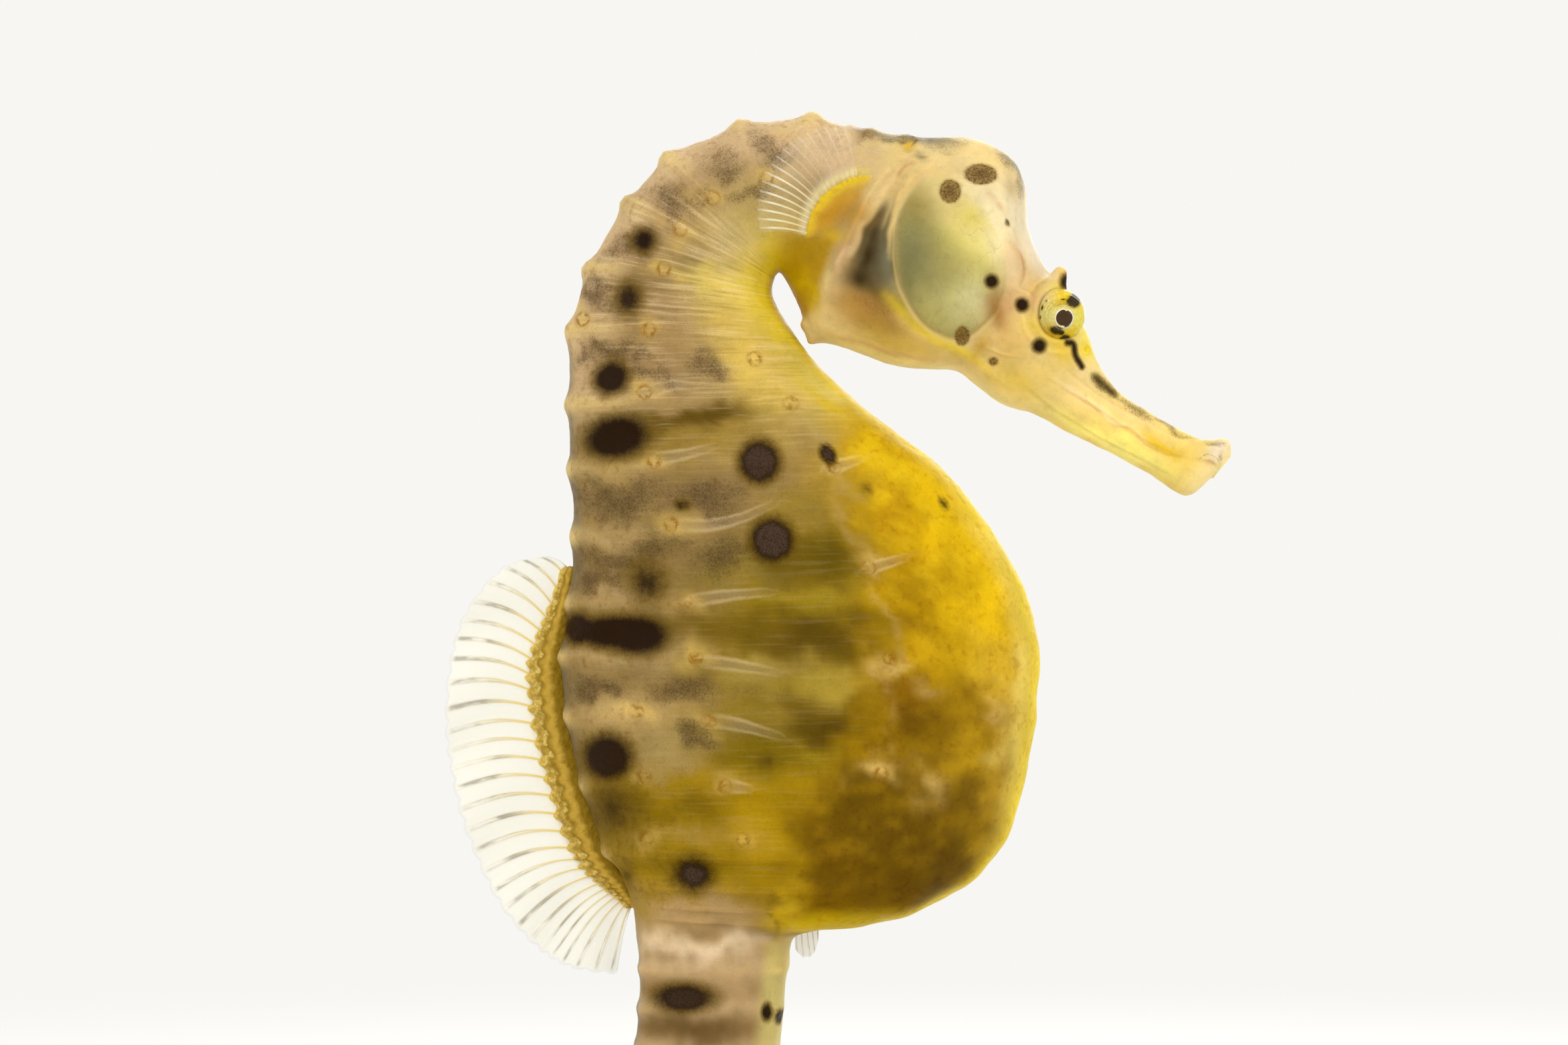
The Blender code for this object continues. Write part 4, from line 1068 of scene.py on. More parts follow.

# Belly: gold, bright at the upper front, clouded brown below, with a painted glow of light along its thin
# front edge.
belly_from = np.interp(wz, [66, 70, 74, 78, 82, 86, 90, 94, 98, 101, 104, 107],
                       [-2.6, -2.6, -1.4, 1.2, 3.6, 4.4, 4.4, 4.0, 3.4, 2.4, 1.8, 1.2])
belly = soft(wx - belly_from, -2.6, 2.2) * soft(z, 65.6, 67.0) * soft(z, 106.5, 103.0)
wash((190, 148, 2), belly)
wx = wx + 0.30 * belly * wander(2.9, 4.1)
wz = wz + 0.30 * belly * wander(3.3, 2.7)
for centre, radii, colour, lean in (
        ((8.8, 97.6), (5.4, 3.4), (246, 202, 10), -40),
        ((5.4, 100.8), (3.2, 1.5), (238, 198, 22), -25),
        ((13.4, 91.6), (2.6, 5.4), (228, 186, 8), 10),
        ((5.6, 97.0), (2.0, 2.2), (186, 142, 8), 0),
        ((7.6, 91.0), (2.6, 2.8), (182, 140, 2), 0),
        ((6.0, 93.0), (2.0, 2.0), (186, 144, 3), 0),
        ((7.0, 89.2), (1.6, 0.9), (158, 118, 3), 0),
        ((8.6, 86.2), (2.6, 1.6), (204, 162, 6), 0),
        ((12.2, 87.0), (3.0, 2.6), (206, 166, 10), 0),
        ((12.4, 82.4), (2.6, 3.0), (182, 142, 14), 0),
        ((14.5, 79.6), (1.5, 3.6), (226, 196, 92), 0)):
    dab(colour, 0.90, centre, radii, lean, belly, 1.3)
wash((136, 102, 3), 0.90 * belly * soft(wz, 82.0, 74.0) * soft(wx, 15.8, 11.0))
for centre, radii, colour in (
        ((7.2, 82.0), (3.8, 2.8), (108, 75, 2)),
        ((7.4, 72.8), (7.2, 4.4), (100, 72, 2)),
        ((2.6, 77.0), (4.0, 2.4), (116, 87, 2)),
        ((2.4, 70.0), (3.4, 2.6), (124, 91, 2)),
        ((10.6, 75.8), (3.2, 1.9), (124, 93, 4)),
        ((11.4, 73.0), (1.0, 0.9), (84, 60, 2)),
        ((9.4, 70.2), (2.8, 1.4), (106, 78, 3))):
    dab(colour, 0.88, centre, radii, 0, belly)
dab((184, 147, 4), 0.60, (-3.0, 73.4), (1.5, 3.4), 0, on_trunk)
dab((176, 140, 4), 0.65, (-1.7, 69.0), (1.0, 2.0), 0, belly)
clouds = wander(2.6, 5.1) + 0.6 * wander(1.3, 6.3)
wash((90, 62, 2), 0.28 * soft(clouds, -0.8, 1.4) * belly * soft(z, 95.0, 84.0))
wash((196, 154, 18), 0.20 * soft(clouds, 0.3, -1.5) * belly * soft(z, 90.0, 80.0) * soft(z, 68.0, 74.0))
wash((244, 206, 30), 0.30 * soft(clouds, 0.4, -1.4) * belly * soft(z, 86.0, 92.0))
for centre, radii in (
        ((8.6, 77.7), (1.1, 1.2)), ((4.6, 78.3), (0.9, 0.8)), ((5.6, 86.4), (0.9, 0.8)),
        ((12.9, 82.8), (0.8, 0.9)), ((8.2, 84.4), (0.9, 0.5))):
    dab((214, 180, 98), 0.75, centre, radii)
dab((234, 192, 46), 0.75, (13.2, 86.2), (1.8, 2.4), 0, belly)
dab((246, 202, 8), 0.75, (12.2, 90.6), (2.2, 2.4), 0, belly)
dab((216, 172, 24), 0.50, (7.4, 86.6), (1.4, 0.9), 0, belly)
dab((122, 88, 2), 0.60, (4.8, 83.4), (1.5, 1.0), 0, belly)
dab((146, 100, 2), 0.60, (6.8, 84.0), (2.0, 1.3), 20, belly)
dab((198, 158, 40), 0.70, (13.2, 76.2), (1.3, 1.6), 0, belly)
dab((174, 144, 10), 0.70, (0.0, 79.2), (1.5, 0.9))
dab((198, 158, 24), 0.75, (11.4, 79.2), (1.6, 1.4), 0, belly)
dab((184, 146, 22), 0.80, (12.8, 72.8), (1.7, 1.7), 0, belly)
# Painted glow of light through the thin front edge of the belly: a pale streak and band inside it, a
# bright yellow rim at it.
dab((244, 216, 110), 0.85, (16.0, 85.4), (1.1, 4.0), 0, belly)
front_glow = soft(from_front, 2.8, 0.6) * soft(body, 6.6, 8.2) * (1 - soft(body, 11.6, 12.8))
wash((242, 216, 100), 0.85 * front_glow)
wash((222, 186, 30), 0.5 * soft(from_front, 2.2, 0.6) * belly)
rim = soft(from_front, 1.3, 0.25) * soft(body, 2.8, 3.6) * (1 - soft(body, 20.5, 21.5))
wash((246, 214, 40), 0.9 * rim)
wash((236, 200, 10), 0.85 * soft(z, 68.4, 66.6) * soft(body, 2.6, 3.4) * (1 - soft(body, 6.4, 7.6))
     * soft(wx, -4.4, -2.4))
ridge_back = soft(turn, 0.90, 1.0) ** 1.5 * soft(body, 7.0, 8.0) * (1 - soft(body, 14.5, 15.5))
wash((112, 102, 80), 0.70 * ridge_back * (1 - 0.8 * ringed))
# A painted highlight on each ring's bump along the back.
wash((232, 202, 130), 0.8 * soft(turn, 0.93, 0.99) * ringed * on_trunk)

# Tail: pinkish tan with paler rings, greenish in front, and slate behind: painted shade along the back
# edge.
band = 0.5 + 0.5 * np.cos(2 * math.pi * (u - 0.1))
wash((166, 134, 86), on_tail)
wash((214, 184, 134), 0.60 * band * on_tail)
wash((138, 110, 66), 0.42 * (1 - band) ** 2 * on_tail)
dab((108, 82, 40), 0.90, (-9.0, 58.9), (4.6, 1.4))
dab((204, 172, 122), 0.60, (-6.4, 62.6), (2.6, 1.6))
dab((196, 162, 108), 0.97, (-8.6, 67.4), (4.8, 1.9), firm=1.4)
dab((162, 130, 82), 0.60, (-8.4, 66.8), (2.6, 0.7))
dab((246, 218, 176), 0.97, (-8.2, 65.0), (5.6, 0.95))
wash((208, 190, 116), 0.85 * soft(turn, -0.45, -0.72) * on_tail)
wash((230, 214, 140), 0.6 * soft(turn, -0.86, -0.99) * on_tail)
# Painted shade along the tail's back edge.
wash((128, 124, 106), 0.65 * soft(turn, 0.93, 0.995) * on_tail)
dab((204, 168, 20), 0.85, (-2.4, 67.6), (0.8, 2.4))
line_wash((132, 104, 14), 0.7, [(-3.2, 69.8), (-2.9, 67.8), (-2.9, 65.4)], 0.22)
old_bands = np.sin(math.pi * u / 3.2 + 0.8) ** 6
wash((112, 86, 54), 0.55 * old_bands * on_tail * soft(57.0 - z, 0.0, 3.0))

# Head: tan crown, green gill cover fading to yellow, pink cheek, gold jaw.
wash((238, 212, 148), on_head)
dab((216, 184, 112), 0.85, (9.6, 121.4), (3.0, 2.0), 0, on_head)
dab((255, 224, 146), 0.95, (13.4, 122.9), (2.5, 2.0), -30, on_head)
# A whitish streak down the brow, partly pale skin and partly painted highlight.
dab((246, 232, 194), 0.95, (14.8, 119.2), (1.7, 3.2), 12, on_head)
dab((246, 232, 206), 0.95, (16.6, 116.4), (1.5, 2.8), 25, on_head)
dab((248, 230, 184), 0.9, (12.7, 119.6), (1.6, 2.9), 35, on_head)
dab((222, 190, 124), 0.8, (6.0, 122.8), (1.8, 1.4), 35, on_head)
inside = soft(gill_r, 1.04, 0.94)
wash((164, 154, 90), inside * on_head * soft(wz + 0.25 * (wx - 9.0), 120.8, 117.8))
dab((160, 140, 66), 0.85, (7.3, 119.8), (1.5, 1.9), -25, inside)
dab((134, 130, 86), 0.85, (7.2, 116.4), (1.5, 3.0), 0, inside)
# Yellow and cream on the cover's right: partly its own fading to yellow, partly painted highlight.
dab((236, 220, 124), 0.95, (12.3, 117.0), (2.1, 3.6), 28, inside)
dab((248, 232, 182), 0.95, (12.8, 118.8), (1.4, 3.0), 28)
dab((246, 232, 176), 0.85, (13.5, 116.6), (0.7, 2.0), 8)
dab((218, 206, 124), 0.85, (12.6, 114.0), (1.4, 1.8), 10, inside)
dab((222, 204, 140), 0.80, (9.8, 120.5), (2.8, 1.0), -38, inside)
dab((226, 206, 96), 0.80, (11.6, 119.0), (1.6, 0.9), -40, inside)
dab((202, 192, 128), 0.90, (10.8, 112.6), (2.8, 1.7), 15, inside)
dab((176, 166, 96), 0.80, (8.4, 112.0), (1.6, 1.1), -35, inside)
dab((222, 214, 156), 0.70, (11.9, 113.0), (1.4, 1.4), 0, inside)
dab((206, 182, 126), 0.80, (13.0, 112.3), (0.9, 1.5), -35, inside)
dab((112, 108, 62), 0.45, (6.7, 114.4), (0.55, 2.8), 6, inside)
veined = inside * on_head * soft(wz, 120.5, 118.5)

# Behind the gill cover: slate flap, a dark gap painted as shade in the groove, pale cords, gold shoulder.
behind = soft(gill_r, 0.98, 1.06) * gilled
dab((150, 114, 60), 0.75, (2.5, 115.4), (1.1, 2.4), -8)
dab((104, 98, 70), 0.97, (4.95, 116.2), (1.50, 3.4), -3, behind, 1.8)
dab((130, 126, 98), 0.70, (5.35, 116.2), (0.50, 2.2), 0, behind)
dab((100, 78, 28), 0.80, (4.7, 113.4), (1.6, 0.9), -30, behind)
# Painted shade down the gap behind the flap, darkest low down.
for centre, radii, lean, share in (
        ((4.75, 119.3), (0.42, 1.0), -25, 0.60),
        ((4.30, 117.9), (0.52, 1.4), -20, 0.85),
        ((3.75, 116.1), (0.75, 1.5), -14, 0.95),
        ((3.30, 114.4), (1.25, 1.3), 0, 0.95)):
    dab((56, 41, 6), share, centre, radii, lean, behind)
dab((146, 104, 28), 0.75, (3.2, 112.7), (1.9, 0.8), -8)
dab((216, 184, 120), 0.90, (6.3, 121.4), (0.9, 1.2), -38, behind)
dab((168, 146, 46), 0.85, (5.9, 112.7), (1.0, 0.8), -25, behind)
line_wash((122, 98, 38), 0.55, [(6.1, 119.8), (5.75, 117.8), (5.75, 115.6), (6.2, 113.4)], 0.22)
line_wash((226, 196, 126), 0.90, [(8.3, 123.2), (6.9, 121.5), (5.9, 119.3), (5.45, 117.4),
                                  (5.45, 116.0)], 0.20)
line_wash((96, 80, 34), 0.55, [(6.0, 120.6), (5.4, 119.2), (5.05, 117.6), (5.05, 116.2)], 0.16)
line_wash((208, 178, 112), 0.60, [(6.5, 121.6), (5.5, 119.8), (4.9, 118.2)], 0.14)
line_wash((214, 182, 122), 0.70, [(7.4, 123.6), (6.0, 122.0), (5.1, 120.4)], 0.24)
# A painted shadow line along the gap's edge.
line_wash((58, 44, 8), 0.75, [(5.1, 120.1), (4.3, 118.9), (3.5, 117.4), (2.9, 115.8)], 0.26)
line_wash((234, 204, 142), 0.97, [(6.0, 122.6), (4.8, 120.6), (3.7, 118.9), (2.9, 117.2),
                                  (2.3, 115.6)], 0.24)
line_wash((192, 158, 104), 0.90, [(3.1, 118.4), (2.2, 116.7), (1.6, 115.2), (1.1, 113.6)], 0.46)
line_wash((224, 190, 142), 0.75, [(3.1, 117.9), (2.2, 116.2), (1.5, 114.8)], 0.24)
gold = soft(1.6 + 0.36 * (z - 117.0) - x, -0.3, 0.7) * soft(z, 111.0, 112.4) * soft(z, 119.4, 117.0)
wash((178, 138, 2), 0.95 * gold * soft(x, -4.2, -1.2) * soft(body, 17.5, 19.5))
line_wash((206, 172, 6), 0.9, [(-1.6, 115.2), (-0.2, 113.4), (0.0, 111.8)], 0.55)
wash((206, 160, 44), 0.95 * pad)
wash((240, 206, 44), 0.95 * pad * soft(from_shoulder, 3.7, 4.5))
wash((240, 216, 96), 0.9 * soft(from_shoulder, 4.7, 5.0) * soft(from_shoulder, 5.6, 5.1)
     * np.sin(math.pi * pad_turn) ** 0.5)
dab((184, 130, 20), 0.75, (1.6, 119.0), (0.9, 1.4), -25, pad)
dab((192, 144, 52), 0.80, (3.0, 119.3), (1.1, 1.3), -30)
dab((216, 176, 30), 0.7, (1.7, 117.8), (0.7, 0.6))

# Throat of the head, jaw and cheek.
dab((190, 148, 58), 0.95, (4.6, 111.2), (3.6, 1.4), lean=-22, firm=1.2)
dab((222, 188, 84), 0.90, (6.4, 109.5), (3.8, 0.9), -12)
line_wash((244, 224, 140), 0.95, [(0.2, 111.0), (1.8, 110.1), (4.0, 109.1), (6.4, 108.4),
                                  (8.8, 108.1), (11.0, 107.8)], 0.50)
line_wash((250, 234, 160), 0.90, [(11.0, 107.6), (12.6, 106.6), (14.2, 105.4), (16.0, 104.7)], 0.70)
dab((184, 136, 64), 0.75, (4.2, 112.5), (1.9, 0.7), -25)
peppered(0.30, (4.4, 112.5), (1.9, 0.9), -25)
line_wash((222, 192, 40), 0.90, [(5.2, 113.5), (6.5, 111.9), (7.8, 110.7), (9.4, 109.8),
                                 (11.0, 108.9)], 0.36)
line_wash((240, 212, 70), 0.90, [(8.8, 109.9), (10.6, 109.3), (12.0, 108.5), (13.6, 107.1)], 0.34)
dab((156, 104, 34), 0.92, (13.6, 112.0), (0.85, 2.1), 12, on_head)
dab((206, 158, 104), 0.70, (14.5, 112.9), (0.8, 1.6), 0, on_head)
dab((200, 156, 42), 0.80, (12.2, 109.6), (0.7, 1.2), -20, on_head)
dab((238, 206, 150), 0.85, (14.7, 116.0), (0.9, 1.8), 10, on_head)
line_wash((212, 160, 112), 0.70, [(14.5, 117.4), (15.25, 116.2), (15.45, 115.2), (15.15, 114.1)], 0.22)
# A painted highlight along the cheek's fold.
line_wash((246, 216, 168), 0.60, [(14.2, 116.9), (14.85, 115.6), (14.85, 114.2)], 0.2)
dab((226, 186, 118), 0.85, (16.2, 113.6), (1.0, 2.0), 0, on_head)
line_wash((196, 148, 96), 0.55, [(16.5, 113.8), (16.1, 112.6), (16.3, 111.2)], 0.2)
dab((232, 194, 112), 0.90, (14.6, 109.6), (1.7, 1.5), 0, on_head)
dab((232, 200, 84), 0.90, (15.0, 107.0), (2.6, 1.2), -30, on_head)
dab((234, 202, 92), 0.90, (16.4, 110.9), (1.5, 1.0), -40, on_head)
dab((222, 178, 14), 0.90, (17.7, 110.5), (0.9, 0.55), -35, on_head)
dab((234, 200, 60), 0.85, (18.4, 109.2), (1.1, 1.6), 20, on_head)
dab((244, 222, 96), 0.85, (20.0, 110.4), (0.8, 2.0), 18, on_head)
dab((236, 206, 110), 0.85, (17.4, 107.4), (2.2, 0.9), -35, on_head)
line_wash((206, 150, 96), 0.60, [(0.3, 110.9), (3.2, 109.8), (6.0, 108.95), (9.0, 108.5)], 0.15)

# Snout: peach above, a clear yellow edge below, golden toward the mouth.
on_snout = soft(body, 29.8, 31.4)
wash((240, 210, 116), 0.9 * on_snout)
line_wash((240, 212, 144), 0.80, [(18.6, 107.6), (21.4, 105.6), (24.4, 103.9), (26.4, 102.9)], 0.75)
line_wash((254, 240, 130), 0.92, [(16.6, 105.3), (20.0, 103.4), (24.0, 101.5), (27.5, 99.7)], 0.80)
line_wash((252, 240, 150), 0.60, [(17.0, 104.6), (20.4, 102.7), (23.4, 101.2), (26.0, 99.8)], 0.35)
line_wash((232, 194, 20), 0.85, [(23.6, 103.5), (25.4, 102.8), (26.8, 101.8), (27.8, 100.9)], 0.55)
line_wash((246, 226, 90), 0.70, [(19.4, 106.4), (21.8, 104.8), (24.0, 103.5)], 0.35)
line_wash((250, 226, 176), 0.70, [(17.6, 107.4), (19.8, 106.0), (22.2, 104.5), (25.0, 102.6)], 0.30)
line_wash((214, 160, 80), 0.55, [(18.4, 106.5), (20.4, 105.4), (21.8, 104.3)], 0.12)
line_wash((220, 168, 80), 0.60, [(22.2, 104.1), (24.2, 102.8), (26.0, 101.8), (27.6, 101.3)], 0.12)
mouth = soft(body, 33.6, 35.0)
wash((248, 226, 160), 0.80 * mouth)
dab((240, 224, 200), 0.90, (30.0, 101.9), (1.0, 0.8), 0, mouth)
dab((238, 176, 110), 0.60, (29.1, 100.7), (0.42, 0.3))
line_wash((150, 126, 96), 0.60, [(28.9, 101.05), (29.5, 100.95), (30.1, 100.55)], 0.10)
wash((214, 160, 120), 0.8 * soft(kept(skin.data, "lip"), 0.3, 0.8))
dab((226, 196, 84), 0.80, (18.6, 115.0), (0.8, 0.9), 0, on_head)
dab((236, 204, 60), 0.85, (18.3, 113.9), (1.6, 0.6), 0, on_head)
dab((240, 214, 50), 0.95, NOSTRIL, (0.55, 0.55))
line_wash((206, 178, 30), 0.6, [(19.9, 109.5), (20.2, 109.75), (20.45, 109.4), (20.15, 109.1)], 0.09)

# Crown: slate nape and edge, a yellow pore with dark corners.
line_wash((142, 134, 110), 0.85, [(3.4, 125.6), (6.4, 125.3), (9.0, 125.0), (11.0, 125.0)], 0.55)
line_wash((116, 112, 98), 0.80, [(13.6, 124.3), (14.8, 123.3), (15.5, 122.2), (15.6, 120.8)], 0.24)
dab((196, 170, 120), 0.75, (14.6, 121.4), (0.6, 1.3), 10, on_head)
dab((240, 192, 20), 0.95, GILL_PORE, (0.55, 0.45))
dab((242, 214, 140), 0.75, (5.7, 124.3), (0.6, 0.7))
for corner_at in ((6.2, 124.65), (7.4, 124.75)):
    dab((84, 68, 40), 0.85, corner_at, (0.22, 0.20))
line_wash((110, 100, 66), 0.75, [(7.2, 123.9), (7.8, 123.6), (8.3, 123.3)], 0.28)
dab((150, 112, 50), 0.85, (4.6, 125.3), (0.6, 0.22), -12)
line_wash((170, 124, 70), 0.5, [(6.0, 122.0), (6.7, 122.8), (7.8, 123.1)], 0.12)

# Pigment cells: a smoky smear along the snout's top, crown and spots of the head.
for centre, radii, lean, strength in (
        ((21.4, 107.0), (1.0, 0.50), -42, 1.00),
        ((22.3, 106.2), (0.6, 0.35), -42, 1.00),
        ((24.0, 105.0), (1.6, 0.36), -32, 0.85),
        ((26.6, 103.7), (1.9, 0.26), -27, 0.70),
        ((29.9, 102.3), (1.0, 0.20), -10, 0.55),
        ((30.7, 101.5), (0.3, 0.60), 15, 0.45),
        ((14.4, 123.4), (1.3, 0.50), -45, 0.55),
        ((15.3, 121.4), (0.35, 1.3), 5, 0.55),
        ((7.6, 125.0), (4.4, 0.40), -3, 0.55),
        ((9.4, 124.2), (1.8, 0.5), -8, 0.35)):
    peppered(strength, centre, radii, lean)
faded = np.full(len(x), -1.0)
for centre, radii in (
        ((12.25, 122.3), (1.22, 0.80)), ((9.95, 120.95), (0.80, 0.90)),
        ((10.85, 110.3), (0.55, 0.68)), ((13.2, 108.45), (0.34, 0.30))):
    away = 1 - np.hypot((x - centre[0]) / radii[0], (z - centre[1]) / radii[1])
    faded = np.maximum(faded, away * min(radii))
line_wash((214, 150, 100), 0.5, [(12.6, 121.0), (13.2, 120.2), (14.1, 119.4)], 0.16)
pepper = np.maximum(pepper, 0.16 * on_trunk * (1 - belly) * (1 - 0.6 * soft(turn, -0.2, -0.8)))

# Spines and ribs: pale, partly the bone's own colour and partly painted highlight, with a rusty collar
# round each spine.
for spines in (LATERAL_SPINES, UPPER_SPINES, LOWER_SPINES):
    for spine in spines:
        dab((224, 188, 96), 0.60, spine, (1.05, 0.80))
line_wash((206, 176, 110), 0.30, LOWER_SPINES, 0.3)

# The snout is seen a little darker than the rest, so its paint is a little paler.
keep_tint(skin.data, SEEN_AS_PAINTED - 0.10 * soft(body, 27.0, 31.0)[:, None])

# Dark spots: middle, half sizes, lean, darkness, and how grey the middle is.
SPOTS = [
    ((-12.7, 117.4), (1.05, 1.00), 0, 0.75, 0.0), ((-13.85, 113.05), (1.15, 1.35), 0, 0.55, 0.5),
    ((-15.1, 107.2), (1.50, 1.30), 30, 1.0, 0.1), ((-14.7, 102.8), (2.75, 1.75), 10, 1.1, 0.0),
    ((-4.15, 100.95), (1.65, 1.75), 0, 1.0, 0.9), ((0.9, 101.5), (0.60, 0.90), 25, 0.9, 0.8),
    ((-3.2, 95.2), (1.75, 1.80), 0, 1.0, 1.0), ((-9.8, 97.8), (0.60, 0.50), 0, 0.6, 0.3),
    ((-12.4, 92.1), (1.50, 1.60), 0, 0.44, 0.6), ((-17.6, 88.6), (1.3, 1.30), 0, 1.1, 0.0),
    ((-14.6, 88.4), (4.0, 1.35), 0, 1.1, 0.0), ((-13.1, 88.2), (2.5, 1.60), 0, 1.1, 0.0),
    ((-15.4, 79.1), (2.05, 1.90), 0, 1.1, 0.1), ((-15.0, 75.2), (1.9, 2.1), 0, 0.32, 0.0),
    ((-9.0, 70.6), (1.70, 1.50), 0, 0.66, 1.0), ((-9.8, 61.3), (2.50, 1.15), 0, 0.85, 0.5),
    ((-3.6, 60.2), (0.42, 0.72), 0, 1.0, 0.0), ((-2.6, 59.7), (0.40, 0.60), 0, 1.0, 0.0),
    ((14.2, 118.65), (0.17, 0.32), 15, 0.8, 0.0), ((13.0, 114.3), (0.52, 0.52), 0, 1.05, 0.0),
    ((15.3, 112.6), (0.50, 0.54), 0, 1.05, 0.0), ((16.6, 109.6), (0.55, 0.53), 0, 1.05, 0.0),
    ((9.5, 97.9), (0.30, 0.50), 30, 0.45, 0.3), ((18.75, 114.45), (0.55, 0.62), 0, 1.0, 0.0),
    ((3.7, 99.0), (0.3, 0.3), 0, 0.2, 0.0), ((-3.6, 79.0), (0.5, 0.5), 0, 0.35, 0.0),
]
MARKS = [                       # lines of dark pigment: line, half width, darkness
    ([(18.7, 109.85), (19.2, 109.75), (19.35, 108.95), (19.85, 108.1)], 0.26, 0.55),
    ([(20.9, 107.3), (21.6, 106.7), (22.2, 106.2)], 0.60, 0.22),
    ([(28.7, 101.3), (29.3, 101.6), (30.0, 101.3), (30.3, 100.8)], 0.10, 0.02),
]
spot = np.full(len(x), -1.0)
grey = np.zeros(len(x))
x_here = np.where(y < 0, x, x + 0.35 * np.sin(z * 0.7))     # the two sides differ
for centre, radii, lean, darkness, greyness in SPOTS:
    off_middle = np.hypot(*in_ellipse(x_here, z, centre, radii, math.radians(lean)))
    field = darkness * (1 - off_middle) - (1 - darkness) * 0.12
    field -= 1.2 * soft(np.abs(y), 1.7, 0.9) * (z < 61.5)
    grey = np.where(field > spot, greyness, grey)
    spot = np.maximum(spot, field)
for line, width, darkness in MARKS:
    field = darkness - np.abs(line_gap(x_here, z, line)[0]) / (width * 1.6)
    grey = np.where(field > spot, 0.3, grey)
    spot = np.maximum(spot, field)
keep(skin.data, "spot", np.clip(spot, -1.0, 1.0))
keep(skin.data, "grey", grey)
keep(skin.data, "along", np.interp(u, np.arange(END + 1), KNOTS))
keep(skin.data, "across", depth * (1 - turn) / 2)
fibres = 0.10 + 0.40 * soft(body, 12.5, 14.5) + 0.30 * soft(body, 14.0, 16.0)
fibres *= on_trunk * soft(turn, 0.99, 0.7) * (1 - belly)
fibres *= soft(body, 18.4, 17.4)
keep(skin.data, "fibres", fibres)
keep(skin.data, "pepper", pepper)
keep(skin.data, "faded", faded)
keep(skin.data, "rib_gap", rib_gap / (1.15 - 0.45 * rib_share))
keep(skin.data, "ribbed", ribbed * (1 - 0.5 * rib_share))
keep(skin.data, "rim_gap", np.clip(6.0 * (gill_r - 1), -3.0, 3.0))
keep(skin.data, "free_rim", free_rim * on_head)
keep(skin.data, "veined", veined)
spines = np.array(LATERAL_SPINES + UPPER_SPINES + LOWER_SPINES)
from_spine = np.hypot(x[:, None] - spines[:, 0], z[:, None] - spines[:, 1]).min(axis=1)
keep(skin.data, "from_spine", np.minimum(from_spine, 2.0))
keep(skin.data, "specked", 1 - 0.92 * np.clip(belly + 0.8 * on_head, 0.0, 1.0))
speckled = 0.35 + 0.65 * np.clip(belly + soft(turn, 0.3, 0.9), 0.0, 1.0) * on_trunk
keep(skin.data, "speckled", speckled)
SPOT_CORE = paint(30, 12, 2)
SPOT_GREY = paint(76, 58, 44)
SPOT_HALO = paint(98, 74, 6)


def stored(tree, name, output="Fac"):
    """A value kept on the mesh, for a material."""
    return add(tree, "ShaderNodeAttribute", attribute_name=name).outputs[output]


def worked(tree, operation, first, second=0.0):
    """The result of a Math node."""
    return add(tree, "ShaderNodeMath", {0: first, 1: second},
               operation=operation).outputs[0]


def times(tree, first, second):
    """One value by another."""
    return worked(tree, "MULTIPLY", first, second)


def plus(tree, first, second):
    """One value and another."""
    return worked(tree, "ADD", first, second)


def strayed(tree, value, amount):
    """A noise of 0 to 1 as a stray either way from 0."""
    return times(tree, worked(tree, "SUBTRACT", value, 0.5), amount)


def close_to(tree, value, line, wide, narrow, strength=1.0):
    """The strength where a value is at a line, fading to 0 where it is wide of it."""
    off = worked(tree, "ABSOLUTE", worked(tree, "SUBTRACT", value, line))
    return graded(tree, off, wide, narrow, 0.0, strength)


def toned(tree, share, colour, tone):
    """A colour darkened or tinted through a tone by a share."""
    return mixed(tree, share, colour, mixed(tree, 1.0, colour, tone, "MULTIPLY"))


def let_light_in(shader, share, spread, depth):
    """Lets light into flesh by a share, spreading to a depth in millimetres."""
    shader.inputs["Subsurface Weight"].default_value = share
    shader.inputs["Subsurface Radius"].default_value = spread
    shader.inputs["Subsurface Scale"].default_value = depth * MM


